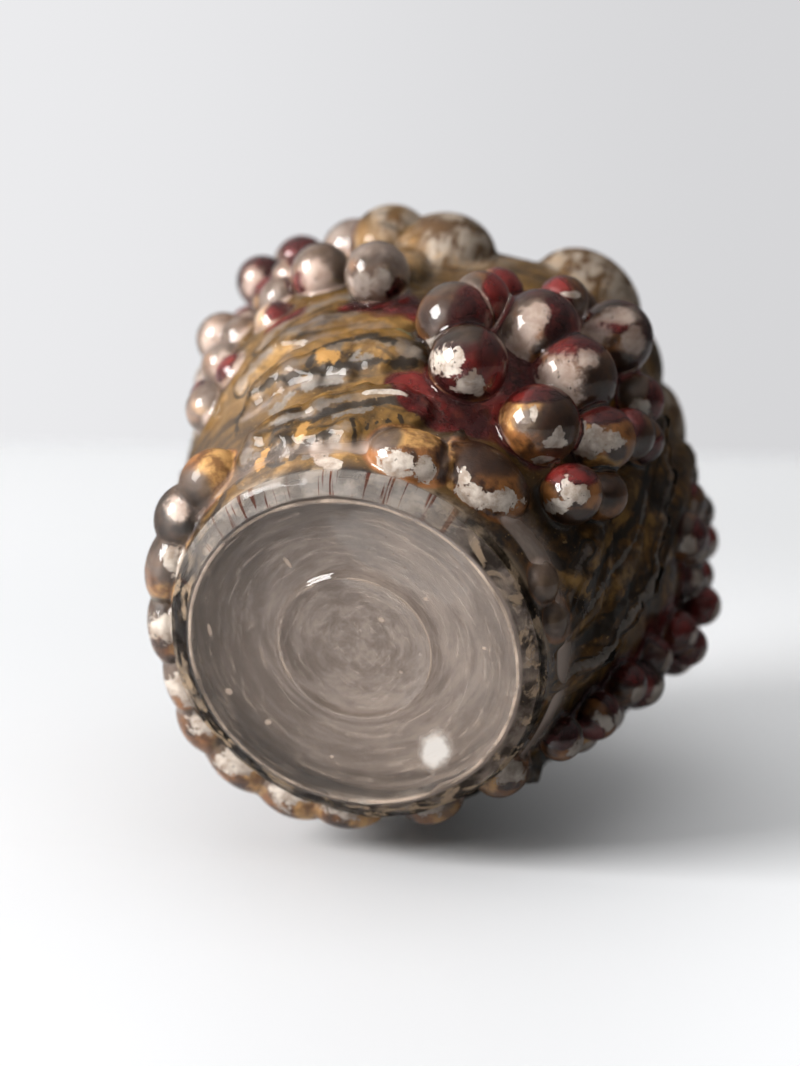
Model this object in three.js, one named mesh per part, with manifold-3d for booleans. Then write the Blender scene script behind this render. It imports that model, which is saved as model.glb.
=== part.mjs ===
// Mould-blown glass vase with four bunches of grapes and broad leaves in high relief.
// Millimetres, +Z up, origin on the resting plane under the middle of the base.
// The glass is one hollow body. Thin films line the inside of its wall: a red one behind
// each bunch of grapes, and a gold one all round, nearer the axis than the red.
import * as THREE from "three";
import { mergeVertices } from "three/addons/utils/BufferGeometryUtils.js";
import Module from "manifold-3d";

const manifold = await Module();
manifold.setup();

// ---- driving dimensions ----
const HEIGHT = 139.4; // base to rim
const WALL = 3; // glass between the plain ground and the cavity
const FLOOR_THICKNESS = 4;
const KICK_UP = 4.6; // height of the hollow under the base
const FOOT_FLAT_IN = 27.8; // radii of the flat ring the vase stands on
const FOOT_FLAT_OUT = 31.4;
const RING_RADIUS = 13.5; // moulded ring in the middle of the base

const FILM = 0.4; // film thickness, thicker than real so that it stays solid
const FILM_GAP = 0.3; // clearance that keeps neighbouring solids apart
const FILM_LOW = 16;
const FILM_HIGH = 112;

const BODY_SEGMENTS = 40;
const CAVITY_SEGMENTS = 32;
const BALL_DETAIL = 1; // subdivisions of the grapes and lobes
const OUTLINE_STEPS = 4; // steps in each curve of the bunch outline

// All angles below are the relief's own; adding this gives the angle in XY, in degrees.
const TURN = -65;

// ---- profiles ----
// Plain ground of the wall: [height, radius].
const GROUND = [
  [0, FOOT_FLAT_OUT], [1.2, 32.9], [3.2, 33.6], [6, 34.3], [10, 35.8], [20, 39.6],
  [30, 42.2], [36, 43.5], [42, 44.6], [54, 45.9], [72, 46.8], [84, 45.6],
  [90, 43.8], [96, 41.2], [102, 37.6], [108, 33], [114, 27.8], [119, 23.4],
  [124, 20.8], [128, 20.2], [132, 20.6], [136, 22.2], [138.4, 23.2],
];

// Whole outside, from the middle of the base round to the middle of the top: [height, radius].
const OUTSIDE = [
  [KICK_UP, 0],
  [KICK_UP, RING_RADIUS - 1.6],
  [KICK_UP - 0.7, RING_RADIUS - 0.4],
  [KICK_UP - 1.1, RING_RADIUS + 0.9],
  [KICK_UP - 1.9, RING_RADIUS + 4.5],
  [1.1, 23.5],
  [0.25, 26.6],
  [0, FOOT_FLAT_IN],
  ...GROUND,
  [HEIGHT - 0.3, 22.9],
  [HEIGHT, 22.2],
  [HEIGHT, 0],
];

// Heights at which the cavity follows the ground.
const CAVITY_HEIGHTS = [16, 24, 36, 50, 70, 84, 94, 104, 112, 119, 128, 134];

// Outer envelope of the bunches: [height, radius].
const ENVELOPE = [
  [0, 41], [10, 44], [20, 48.5], [30, 53], [40, 57], [50, 59.3],
  [62, 59.9], [75, 59], [85, 57], [95, 54], [105, 49],
];

// ---- relief ----
// Each bunch has the angle of its middle, and its grapes:
// [angle, height, distance of the centre from the axis, grape radius].
const BUNCHES = {
  a: {
    middle: 293,
    grapes: [
      [323.5, 56, 50, 6.3], [308.2, 64, 50.3, 6.2], [285.7, 84, 53.2, 5.6],
      [291.5, 92, 50.5, 5.7], [306.5, 88, 47.5, 6.6], [278.9, 66, 52, 5.3],
      [285.2, 61, 49, 4.7], [278.1, 42, 45.2, 5.2], [272, 76, 52, 5.2],
      [269, 66, 48.8, 4.9], [282.5, 52, 48.4, 4.8], [273, 87, 49.2, 5.2],
      [297, 74, 50.4, 4.8],
    ],
  },
  b: {
    middle: 8,
    grapes: [
      [1.6, 45.3, 50.4, 7.9], [345.2, 37.7, 49.1, 7.1], [348.5, 44.1, 51.8, 5.5],
      [2.7, 54, 54.2, 4.9], [15.5, 58.1, 53, 7], [351.7, 29.3, 46, 7.2],
      [12.5, 40.1, 49.3, 7.8], [12, 26.3, 44.1, 7.3], [24.8, 32.7, 48.1, 6.2],
      [27.4, 19.4, 42.8, 5.5], [33.8, 27, 44.6, 4.6], [28, 55, 49.4, 5.2],
      [19, 67, 48.4, 5], [350, 56, 49, 5.2], [33, 46, 49, 4.6],
      [6, 66, 48.2, 5.2],
    ],
  },
  c: {
    middle: 91,
    grapes: [
      [75, 98, 43.5, 4.2], [78, 84, 50.6, 4.6], [83.3, 68, 55.4, 4.1],
      [82.1, 52, 52.2, 4.3], [86.3, 56, 55.6, 4.1], [89.5, 40, 49.4, 4.8],
      [90.3, 23, 43.9, 4.6], [92.8, 13, 39.6, 4.2], [93.5, 64, 55, 4.8],
      [92, 76, 53.6, 4.8], [97.5, 51, 50.8, 4.8], [98, 36, 46, 4.8],
      [88, 88, 50.4, 4.6], [103, 70, 52, 4.8], [107, 58, 50.4, 4.8],
      [64, 60, 49.4, 4.6], [62, 72, 47.6, 4.6], [70, 82, 48.5, 4.4],
    ],
  },
  d: {
    middle: 180,
    grapes: [
      [178, 20, 43, 5], [174, 30, 46.6, 5.4], [185, 32, 46.8, 5.6],
      [168, 42, 49.6, 5.8], [180, 44, 51.4, 6.4], [175, 59, 53.4, 6],
      [188, 60, 53, 6], [169, 72, 52, 5.6], [182, 75, 52.6, 5.8],
      [195, 73, 51.2, 5.4], [176, 87, 48.4, 5.2],
    ],
  },
};

// Rounded lobes where the leaves curl round the foot and over the shoulder: [angle, height,
// distance from the axis, half size across, half size along the axis, half size outwards].
const LOBES = [
  // round the foot
  [348, 9.8, 34.8, 7.6, 6.2, 4.8],
  [9, 12.6, 36.2, 8.6, 6.8, 5.2],
  [284, 13.6, 37.2, 6.4, 6.2, 5.6],
  [271.5, 12.6, 37, 6.6, 6.4, 6],
  [257, 11.6, 36.2, 8.2, 7.4, 5.2],
  [239, 11.2, 35.9, 8.4, 7.2, 4.7],
  [219, 11, 35.8, 8.6, 7.2, 4.6],
  [189.1, 8.6, 34.6, 6.4, 5, 4],
  [157, 9, 34.8, 6.4, 5.2, 3.8],
  [133.3, 8.9, 34.8, 6, 5.2, 4.2],
  [108.5, 9.2, 35.2, 5.6, 5.4, 4.6],
  // over the shoulder
  [330, 84, 43.4, 10.5, 13, 8.6],
  [9.2, 88, 42.4, 12, 14, 9.4],
  [27, 89, 39, 11, 12, 7.8],
  [50, 86, 41, 9, 12, 5.6],
  [120, 88, 42.4, 10.5, 13, 8],
  [158, 88, 42.2, 10.5, 13, 8],
  [228, 88, 42.2, 11, 13, 8],
  [246, 82, 45.6, 8.5, 11, 10.2],
  [316, 87, 46.2, 8.2, 9.5, 8.2],
];

// Leaves: [angle, height of the middle, half width in degrees, half height,
// lean in degrees per mm, rise].
const LEAVES = [
  [316, 28, 24, 19, -0.42, 3.2],
  [55, 44, 15, 42, 0.14, 3.6],
  [139, 46, 20, 38, -0.1, 3.6],
  [232, 46, 20, 38, 0.12, 3.6],
];
const LEAF_EDGE = 1.6; // steepness of a leaf's edge

// Mound of glass under each bunch.
const MOUND_MIDDLE = 58; // height
const MOUND_HALF_ANGLE = 25; // degrees
const MOUND_HALF_HEIGHT = 42;
const MOUND_SPREAD = 1.25; // the mound fades out at this multiple of its half sizes
const MOUND_DEPTH = 6.8; // top of the mound below the envelope

// Heights between which the wall is raised.
const RELIEF_LOW = 5;
const RELIEF_HIGH = 112;

// ---- helpers ----
const radians = (degrees) => (degrees * Math.PI) / 180;
// Signed difference of two angles, from -180 to 180 degrees.
const angleBetween = (to, from) => ((((to - from) % 360) + 540) % 360) - 180;

function smooth(value) {
  const t = Math.min(Math.max(value, 0), 1);
  return t * t * (3 - 2 * t);
}

// Radius at a height, read from a table of [height, radius].
function radiusAt(table, z) {
  if (z <= table[0][0]) return table[0][1];
  for (let i = 1; i < table.length; i++) {
    const [lowZ, lowRadius] = table[i - 1];
    const [highZ, highRadius] = table[i];
    if (z <= highZ) return lowRadius + ((highRadius - lowRadius) * (z - lowZ)) / (highZ - lowZ);
  }
  return table.at(-1)[1];
}

// A solid from a geometry, with shared vertices merged and faces turned outwards.
function toSolid(geometry) {
  // normals and UVs would keep vertices at one place apart
  geometry.deleteAttribute("normal");
  geometry.deleteAttribute("uv");
  const merged = mergeVertices(geometry, 1e-4);
  const position = merged.attributes.position;
  const corners = merged.index.array;
  const [first, second, third] = [0, 1, 2].map(() => new THREE.Vector3());
  const triangles = [];
  let volume = 0; // six times the signed volume
  for (let i = 0; i < corners.length; i += 3) {
    const [a, b, c] = corners.subarray(i, i + 3);
    if (a === b || b === c || a === c) continue;
    triangles.push(a, b, c);
    first.fromBufferAttribute(position, a);
    second.fromBufferAttribute(position, b);
    third.fromBufferAttribute(position, c);
    volume += first.dot(second.cross(third));
  }
  if (volume < 0) {
    for (let i = 0; i < triangles.length; i += 3) {
      [triangles[i + 1], triangles[i + 2]] = [triangles[i + 2], triangles[i + 1]];
    }
  }
  return new manifold.Manifold(
    new manifold.Mesh({
      numProp: 3,
      vertProperties: new Float32Array(position.array),
      triVerts: new Uint32Array(triangles),
    }),
  );
}

function toGeometry(solid) {
  const mesh = solid.getMesh();
  const geometry = new THREE.BufferGeometry();
  const vertices = new Float32Array(mesh.vertProperties);
  geometry.setAttribute("position", new THREE.BufferAttribute(vertices, 3));
  geometry.setIndex(new THREE.BufferAttribute(new Uint32Array(mesh.triVerts), 1));
  geometry.computeVertexNormals();
  return geometry;
}

// A surface turned about Z from [height, radius] pairs.
function turned(profile, segments) {
  const points = profile.map(([z, radius]) => new THREE.Vector2(radius, z));
  return new THREE.LatheGeometry(points, segments).rotateX(Math.PI / 2);
}

// ---- glass body ----
// Extra radius of the wall: mounds under the bunches, and the leaves.
function reliefAt(angle, z) {
  let rise = 0;
  const moundRise = Math.max(radiusAt(ENVELOPE, z) - radiusAt(GROUND, z) - MOUND_DEPTH, 0);
  for (const { middle } of Object.values(BUNCHES)) {
    const across = angleBetween(angle, middle) / MOUND_HALF_ANGLE;
    const up = (z - MOUND_MIDDLE) / MOUND_HALF_HEIGHT;
    rise = Math.max(rise, moundRise * smooth(MOUND_SPREAD - Math.hypot(across, up)));
  }
  for (const [leafAngle, middle, halfAngle, halfHeight, lean, leafRise] of LEAVES) {
    const across = angleBetween(angle, leafAngle + lean * (z - middle)) / halfAngle;
    const up = (z - middle) / halfHeight;
    const inside = smooth(LEAF_EDGE * (1 - Math.hypot(across, up)));
    rise = Math.max(rise, leafRise * inside);
  }
  return rise;
}

// The solid outside of the vase, with the wall pushed outwards by the relief.
function reliefBody() {
  const geometry = turned(OUTSIDE, BODY_SEGMENTS);
  const position = geometry.attributes.position;
  for (let i = 0; i < position.count; i++) {
    const x = position.getX(i);
    const y = position.getY(i);
    const z = position.getZ(i);
    if (z < RELIEF_LOW || z > RELIEF_HIGH) continue;
    const radius = Math.hypot(x, y);
    const angle = THREE.MathUtils.radToDeg(Math.atan2(y, x)) - TURN;
    const stretch = (radius + reliefAt(angle, z)) / radius;
    position.setXYZ(i, x * stretch, y * stretch, z);
  }
  return toSolid(geometry);
}

// Turns a geometry so that its +X points away from the axis, and moves it into place.
function placed(geometry, angle, z, distance) {
  const turn = radians(angle + TURN);
  geometry.rotateZ(turn);
  geometry.translate(distance * Math.cos(turn), distance * Math.sin(turn), z);
  return toSolid(geometry);
}

function grape([angle, z, distance, radius]) {
  return placed(new THREE.IcosahedronGeometry(radius, BALL_DETAIL), angle, z, distance);
}

function lobe([angle, z, distance, across, along, outwards]) {
  const ball = new THREE.IcosahedronGeometry(1, BALL_DETAIL).scale(outwards, across, along);
  return placed(ball, angle, z, distance);
}

const cavityRadius = (z) => radiusAt(GROUND, z) - WALL;

// The hollow inside, carried past the rim so that it opens the top.
function cavity() {
  const floor = KICK_UP + FLOOR_THICKNESS;
  const top = HEIGHT + 1;
  const profile = [
    [floor, 0],
    [floor, 22],
    [floor + 1.2, 29],
    [floor + 3.6, 32.6],
    ...CAVITY_HEIGHTS.map((z) => [z, cavityRadius(z)]),
    [HEIGHT - 1.4, 20.2],
    [top, 21.4],
    [top, 0],
  ];
  return toSolid(turned(profile, CAVITY_SEGMENTS));
}

function glassBody() {
  let glass = reliefBody();
  for (const { grapes } of Object.values(BUNCHES)) {
    for (const row of grapes) glass = glass.add(grape(row));
  }
  for (const row of LOBES) glass = glass.add(lobe(row));
  return glass.subtract(cavity());
}

// ---- films on the inside of the wall ----
// A film all round, whose outer face keeps a distance from the wall.
function film(distance) {
  const between = CAVITY_HEIGHTS.filter((z) => z > FILM_LOW && z < FILM_HIGH);
  const heights = [FILM_LOW, ...between, FILM_HIGH];
  const face = (inset) => heights.map((z) => [z, cavityRadius(z) - inset]);
  const outer = face(distance);
  const inner = face(distance + FILM).reverse();
  return toSolid(turned([...outer, ...inner, outer[0]], CAVITY_SEGMENTS));
}

// The tapered outline shared by the bunches, narrow at the bottom: x across, y up.
function bunchOutline() {
  const low = 20;
  const high = 92;
  const half = 20; // nominal half width
  const lowerPull = low + (high - low) * 0.2;
  const side = low + (high - low) * 0.4; // where the lower and upper curves meet
  const upperPull = low + (high - low) * 0.62;
  const outline = new THREE.Shape();
  outline.moveTo(0, low);
  outline.bezierCurveTo(half * 0.5, low, half * 0.62, lowerPull, half * 0.86, side);
  outline.bezierCurveTo(half * 1.1, upperPull, half, high, 0, high);
  outline.bezierCurveTo(-half, high, -half * 1.1, upperPull, -half * 0.86, side);
  outline.bezierCurveTo(-half * 0.62, lowerPull, -half * 0.5, low, 0, low);
  return outline;
}

// The part of the red film inside the bunch outline, projected outwards from near the axis.
function redPatch(redFilm, angle) {
  const start = 8; // distance from the axis
  const prism = new THREE.ExtrudeGeometry(bunchOutline(), {
    depth: 50,
    bevelEnabled: false,
    curveSegments: OUTLINE_STEPS,
  });
  prism.translate(0, 0, start);
  prism.rotateX(Math.PI / 2); // stands it up, running outwards along -Y
  prism.rotateZ(radians(angle + TURN) + Math.PI / 2);
  return redFilm.intersect(toSolid(prism));
}

// ---- materials ----
const clearGlass = new THREE.MeshStandardMaterial({
  color: 0xcdc7c0,
  roughness: 0.06,
  metalness: 0,
  opacity: 0.4,
  transparent: true,
});
const gold = new THREE.MeshStandardMaterial({ color: 0x9a7436, roughness: 0.38, metalness: 0.7 });
const red = new THREE.MeshStandardMaterial({ color: 0x6b1d20, roughness: 0.45, metalness: 0.1 });

// ---- assembly ----
const vase = new THREE.Group();

function addPiece(name, solid, material) {
  const mesh = new THREE.Mesh(toGeometry(solid), material);
  mesh.name = name;
  vase.add(mesh);
}

addPiece("glass_body", glassBody(), clearGlass);
const redFilm = film(FILM_GAP);
for (const [key, { middle }] of Object.entries(BUNCHES)) {
  addPiece("red_film_bunch_" + key, redPatch(redFilm, middle), red);
}
addPiece("gold_film", film(FILM_GAP + FILM + FILM_GAP), gold);

export default vase;
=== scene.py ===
import math

import bmesh
import bpy
import numpy as np
from mathutils import Matrix, Vector


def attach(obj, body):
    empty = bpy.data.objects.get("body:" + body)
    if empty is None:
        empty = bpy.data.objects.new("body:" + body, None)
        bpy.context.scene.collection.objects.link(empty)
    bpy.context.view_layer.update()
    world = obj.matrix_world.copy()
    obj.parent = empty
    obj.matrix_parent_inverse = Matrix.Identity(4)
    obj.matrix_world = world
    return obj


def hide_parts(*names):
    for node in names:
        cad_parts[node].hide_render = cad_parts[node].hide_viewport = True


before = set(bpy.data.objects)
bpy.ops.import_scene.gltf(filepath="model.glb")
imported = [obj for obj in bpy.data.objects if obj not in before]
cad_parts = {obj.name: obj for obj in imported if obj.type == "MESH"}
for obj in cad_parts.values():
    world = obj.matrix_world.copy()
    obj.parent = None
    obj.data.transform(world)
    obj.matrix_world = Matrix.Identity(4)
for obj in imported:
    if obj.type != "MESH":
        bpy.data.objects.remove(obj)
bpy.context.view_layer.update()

MM = 0.001
TURN = -65.0  # degrees from the relief's own angle to the XY angle
VOXEL = 0.56
LENS = 0.66  # how far out from a grape's middle its paint lies
CUT_LOW, CUT_HIGH = 3.2, 113.0

# ---------------------------------------------------------------- shape tables (mm, degrees)
GROUND = np.array([
    (-8, 33.4), (0, 33.4), (1.2, 33.5), (3.2, 33.6), (6, 34.3), (10, 35.8), (15, 37.9), (20, 39.6), (25, 41), (30, 42.2), (36, 43.5),
    (42, 44.6), (48, 45.3), (54, 45.9), (60, 46.4), (66, 46.8), (72, 46.8), (78, 46.5), (84, 45.6), (90, 43.8),
    (96, 41.2), (102, 37.6), (108, 33), (114, 27.8), (119, 23.4), (124, 20.8), (128, 20.2), (132, 20.6), (136, 22.2), (138.4, 23.2)], float)
ENVELOPE = np.array([(0, 41), (10, 44), (20, 48.5), (30, 53), (40, 57), (50, 59.3), (62, 59.9), (75, 59), (85, 57), (95, 54), (105, 49)], float)

# angle, height, distance of the centre from the axis, radius
GRAPES = {
    "a": [(323.5, 56, 50, 6.3), (308.2, 64, 50.3, 6.2), (285.7, 84, 53.2, 5.6), (291.5, 92, 50.5, 5.7), (306.5, 88, 47.5, 6.6),
          (290.2, 74, 50, 4.6), (278.9, 66, 52.0, 5.3), (285.2, 61, 48.9, 4.7), (278.1, 42, 45.2, 5.2), (282.5, 52, 48.4, 4.8),
          (272, 76, 52.0, 5.2), (269, 66, 48.8, 4.9), (272, 54, 46.8, 4.6), (273, 87, 49.6, 5.2), (297, 74, 50.4, 4.8),
          (283, 95, 47, 4.8), (296, 97, 45.4, 4.8), (297, 64, 49.6, 4.8), (266, 84, 48.6, 4.8), (288, 44, 45.6, 4.4), (298, 54, 47.6, 4.6)],
    "b": [(1.6, 45.3, 50.4, 7.9), (345.2, 37.7, 49.1, 7.1), (348.5, 44.1, 51.8, 5.5), (2.7, 54, 54.2, 4.9), (15.5, 58.1, 53.0, 7.0),
          (351.7, 29.3, 46, 7.2), (12.5, 40.1, 49.3, 7.8), (12, 26.3, 44.1, 7.3), (24.8, 32.7, 48.1, 6.2), (27.4, 19.4, 42.8, 5.5),
          (28.6, 38.6, 50.4, 4.8), (33.8, 27, 44.6, 4.6), (28, 55, 49.4, 5.2), (19, 67, 48.4, 5.0), (350, 56, 49.0, 5.2), (33, 46, 49.0, 4.6),
          (6, 66, 48.2, 5.2)],
    "c": [(75, 98, 43.5, 4.2), (78, 84, 50.6, 4.6), (78.9, 68, 50.6, 4.2), (83.3, 68, 55.4, 4.1), (82.1, 52, 52.2, 4.3),
          (86.3, 56, 55.6, 4.1), (89.5, 40, 49.4, 4.8), (90.3, 23, 43.9, 4.6), (92.8, 13, 39.6, 4.2), (84.3, 43, 49.4, 4),
          (81.8, 76, 52.2, 4.1), (93.5, 64, 55, 4.8), (92, 76, 53.6, 4.8), (97.5, 51, 50.8, 4.8), (98, 36, 46.0, 4.8),
          (88, 88, 50.4, 4.6), (103, 70, 52.0, 4.8), (101, 84, 50.2, 4.6), (107, 58, 50.4, 4.8), (104, 45, 48.0, 4.6),
          (99, 26, 43.2, 4.2), (110, 76, 49.4, 4.6), (95, 93, 46.6, 4.6), (86, 32, 46.4, 4.2),
          (64, 60, 49.4, 4.6), (62, 72, 47.6, 4.6), (70, 82, 48.5, 4.4), (72, 70, 49.6, 4.4)],
    "d": [(178, 20, 43, 5), (174, 30, 46.6, 5.4), (185, 32, 46.8, 5.6), (168, 42, 49.6, 5.8), (180, 44, 51.4, 6.4), (192, 45, 49.6, 5.4),
          (164, 56, 51.4, 5.6), (175, 59, 53.4, 6), (188, 60, 53, 6), (200, 58, 50.4, 5), (169, 72, 52, 5.6), (182, 75, 52.6, 5.8),
          (195, 73, 51.2, 5.4), (176, 87, 48.4, 5.2), (188, 88, 47.8, 5), (159, 69, 49.8, 4.8), (204, 68, 48.8, 4.6)],
}
BUNCHES = {"a": 293.0, "b": 8.0, "c": 91.0, "d": 180.0}
SUNK = {"a": 10.2, "b": 9.4, "c": 8.6, "d": 8.0}  # how far the wall under each bunch lies inside the envelope
# angle, height, distance from the axis, (across, along, out)
LOBES = [
    (348, 9.8, 34.8, (7.6, 6.2, 4.8)), (9, 12.6, 36.2, (8.6, 6.8, 5.2)), (284, 13.6, 37.2, (6.4, 6.2, 5.6)),
    (271.5, 12.6, 37.0, (6.6, 6.4, 6.0)), (257, 11.6, 36.2, (8.2, 7.4, 5.2)), (108.5, 9.2, 35.2, (5.6, 5.4, 4.6)),
    (133.3, 8.9, 34.8, (6, 5.2, 4.2)), (160, 9.6, 35.6, (7.4, 5.9, 5.0)), (193, 10.8, 37.0, (9, 7, 6.0)), (219, 11, 35.8, (8.6, 7.2, 4.6)),
    (40, 8, 34.6, (3.8, 4, 2.8)), (52, 8, 34.6, (3.8, 4, 2.4)), (239, 11.2, 35.9, (8.4, 7.2, 4.7)),
    (176, 10.2, 36.6, (8.4, 6.4, 5.8)), (207, 11.2, 37.0, (7.6, 7.2, 5.8)),
    (330, 84, 43.4, (10.5, 13, 8.6)), (9.2, 88, 42.4, (12, 14, 9.4)), (50, 86, 41, (9, 12, 5.6)),
    (120, 88, 42.4, (10.5, 13, 8)), (158, 88, 42.2, (10.5, 13, 8)), (228, 88, 42.2, (11, 13, 8)),
    (246, 82, 45.6, (8.5, 11, 9.4)), (316, 87, 46.2, (8.2, 9.5, 8.2)),
    (27, 89, 39.0, (11, 12, 7.8)),
]
FOOT_LOBES = 15
# leaves: stem angle, stem height, tip angle, tip height, half width mm, rise mm, teeth
LEAVES = [
    (349, 20, 296, 14, 8.0, 2.2, 6), (343, 33, 292, 28, 7.5, 2.5, 6), (338, 47, 297, 40, 6.0, 2.0, 5),
    (34, 66, 78, 8, 11.0, 2.6, 5), (36, 30, 62, 4, 6.0, 1.8, 4),
    (58, 86, 62, 40, 9.0, 3.4, 7),
    (112, 84, 138, 20, 13.0, 4.2, 9), (126, 30, 110, 12, 7.0, 3.0, 5), (158, 82, 142, 30, 11.0, 4.0, 8),
    (250, 84, 226, 22, 13.0, 4.2, 9), (214, 86, 212, 34, 10.0, 4.0, 8),
    (312, 92, 330, 60, 9.0, 2.8, 7),
]
# raised crests: points of (angle, height), rise mm, half width mm
CRESTS = [
    ([(74, 5), (69, 17), (64, 27), (63, 34), (55, 40), (47, 52), (39, 57), (32, 61)], 2.4, 1.0),
    ([(40, 22), (44, 16), (50, 10), (55, 7), (60, 5)], 2.2, 1.0),
    ([(344, 31), (334, 32), (325, 34), (317, 31), (307, 28), (296, 28)], 1.0, 1.7),
    ([(337, 47), (327, 48), (317, 47), (309, 43), (299, 38), (290, 33)], 0.9, 1.8),
    ([(346, 18.5), (335, 18.5), (323, 17), (312, 15), (304, 15)], 1.0, 1.6),
    ([(335, 11), (325, 10.5), (314, 8.5), (304, 10.5), (294, 13)], 1.0, 1.6),
    ([(357.5, 5), (357.8, 11), (357, 18)], 3.4, 1.0),
    ([(322, 60), (312, 54), (303, 47), (296, 40)], 0.8, 1.7),
    ([(110, 14), (118, 30), (122, 48), (118, 64), (112, 78)], 2.0, 1.7),
    ([(150, 16), (146, 34), (152, 52), (158, 68)], 1.8, 1.7),
    ([(206, 18), (214, 34), (218, 52), (212, 70)], 1.8, 1.7),
    ([(252, 20), (246, 36), (240, 52), (246, 70), (252, 82)], 1.8, 1.7),
]
# where the red has spread over the wall: angle, height, half width mm, half height mm
RED_SPREAD = [(350, 24, 9, 6), (3, 33, 9, 9), (356, 52, 11, 8), (330, 50, 9, 4), (82, 60, 11, 26), (94, 55, 14, 34), (290, 84, 13, 12), (180, 55, 16, 34), (20, 62, 8, 8)]
DARK_SPREAD = [(46, 22, 14, 22), (34, 45, 12, 16), (58, 48, 16, 26), (24, 8, 9, 6), (45, 10, 10, 10), (130, 50, 20, 34), (62, 14, 8, 14)]

# single brush strokes and chips, and streaks of painted sheen: kind, half width mm, points of (angle, height)
STROKES = [
    ("ink", 0.7, [(334, 32), (327.5, 35), (322, 34.5), (316.5, 32.5), (314.5, 28.5)]),
    ("flake", 1.2, [(317, 30.5), (319.5, 30.5)]),
    ("painted_silver_sheen", 1.2, [(322.5, 27.5), (318, 26.5), (313.5, 26)]),
    ("painted_silver_sheen", 1.1, [(309, 25), (307.5, 23.5), (304.5, 23)]),
    ("ink", 0.6, [(339.5, 30), (333.5, 28.8), (327.5, 28.6), (321, 28.4), (315, 27.6), (309, 27), (301, 28), (294.5, 29), (291, 28), (292.5, 22)]),
    ("painted_silver_sheen", 0.8, [(329, 29.5), (325, 29.6), (326, 31)]),
    ("chip", 0.6, [(331.5, 18.9), (335.5, 19.5), (341, 19.7)]),
    ("ink", 0.65, [(346, 17.5), (339.5, 18), (333, 17), (327.5, 16), (322.5, 15.2), (319.5, 13.5)]),
    ("painted_silver_sheen", 0.8, [(333.5, 16), (329.5, 15), (325, 14.2)]),
    ("ink", 0.4, [(335, 9), (335, 10.8), (334, 12.8)]), ("ink", 0.4, [(338, 9.4), (337.6, 11.2), (336.4, 13.2)]),
    ("ink", 0.4, [(341, 10.2), (340.4, 12), (339, 14)]), ("ink", 0.4, [(344, 12), (343, 13.8), (341.5, 15.4)]),
    ("ink", 0.4, [(332, 8.6), (331.6, 10.4), (330, 12.6)]),
    ("ink", 0.5, [(325, 10.5), (320.5, 9.5), (315.5, 8.5), (313.5, 7.5)]),
    ("painted_silver_sheen", 0.7, [(327, 9.5), (322.5, 8.5), (318, 7.5)]),
    ("ink", 0.9, [(313.5, 10.5), (311.5, 10), (309, 8.5), (306, 10)]),
    ("ink", 0.7, [(304, 10), (299, 9.5), (295, 8)]),
    ("flake", 1.3, [(305.5, 11), (303.5, 9)]), ("flake", 0.9, [(318, 13), (316.5, 11)]),
    ("chip", 1.3, [(321.5, 8.5), (324, 6.5), (328, 5)]),
    ("lilac", 1.8, [(306, 34.5), (312, 27), (308, 26.5)]), ("lilac", 1.6, [(317.5, 38), (311.5, 38.5)]),
    ("lilac", 1.6, [(301.5, 25), (293.5, 26)]), ("lilac", 1.4, [(302, 17), (299.5, 13)]),
    ("lilac", 2.0, [(320.5, 46), (315, 44), (308.5, 44)]), ("lilac", 1.6, [(330, 40), (322, 41)]),
    ("blush", 2.6, [(334, 46.5), (328.5, 46), (318, 50.5)]), ("blush", 3.0, [(341, 26), (346, 20.5), (352, 21), (358.5, 22)]),
    ("blush", 2.0, [(337, 26), (342.5, 19)]), ("blush", 1.6, [(300, 48), (306, 50)]),
    ("gold", 2.2, [(340.5, 23.5), (333, 24), (325, 23), (319, 20.5), (311, 20), (304, 19.5)]),
    ("gold", 1.8, [(340.5, 11), (332, 8.5), (324, 8), (314.5, 5), (309, 4)]), ("gold", 1.4, [(328.5, 32), (323.5, 32.6)]),
    ("gold", 1.8, [(336, 42), (328, 43), (318, 42)]), ("gold", 1.6, [(306, 40), (298, 34)]),
    ("green", 0.8, [(337, 36), (333.5, 38)]),
    ("ink", 0.8, [(322, 3.6), (332, 3.6), (340, 3.6), (349.5, 4)]), ("ink", 0.9, [(287, 12), (289, 7), (286, 4.5)]),
    ("painted_silver_sheen", 0.6, [(72, 9), (68, 18), (64, 26), (63, 33), (56, 40)]), ("painted_silver_sheen", 0.5, [(56, 14), (52, 24), (50, 34), (44, 44)]),
    ("gold", 1.6, [(60, 12), (56, 22), (55, 32), (50, 42)]), ("gold", 1.4, [(46, 20), (44, 30), (40, 42)]), ("gold", 1.8, [(36, 10), (44, 12), (50, 16)]),
    ("ink", 0.9, [(66, 10), (62, 20), (59, 30)]), ("ink", 0.9, [(50, 16), (47, 26), (46, 36), (40, 48)]), ("ink", 1.1, [(26, 9), (32, 10), (40, 14)]),
]


def ground(z):
    return np.interp(z, GROUND_Z, GROUND_R)


_z = np.arange(-8, 138.41, 0.25)
_r = np.interp(_z, GROUND[:, 0], GROUND[:, 1])
_k = np.exp(-0.5 * (np.arange(-16, 17) * 0.25 / 1.5) ** 2)
_k /= _k.sum()
_rs = np.convolve(np.pad(_r, 16, mode="edge"), _k, mode="valid")
_w = np.clip((_z - 4) / 4, 0, 1) * np.clip((136 - _z) / 4, 0, 1)
GROUND_Z, GROUND_R = _z, _r * (1 - _w) + _rs * _w


def smooth(t):
    t = np.clip(t, 0, 1)
    return t * t * (3 - 2 * t)


def apart(a, b):
    return (a - b + 540.0) % 360.0 - 180.0


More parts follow.
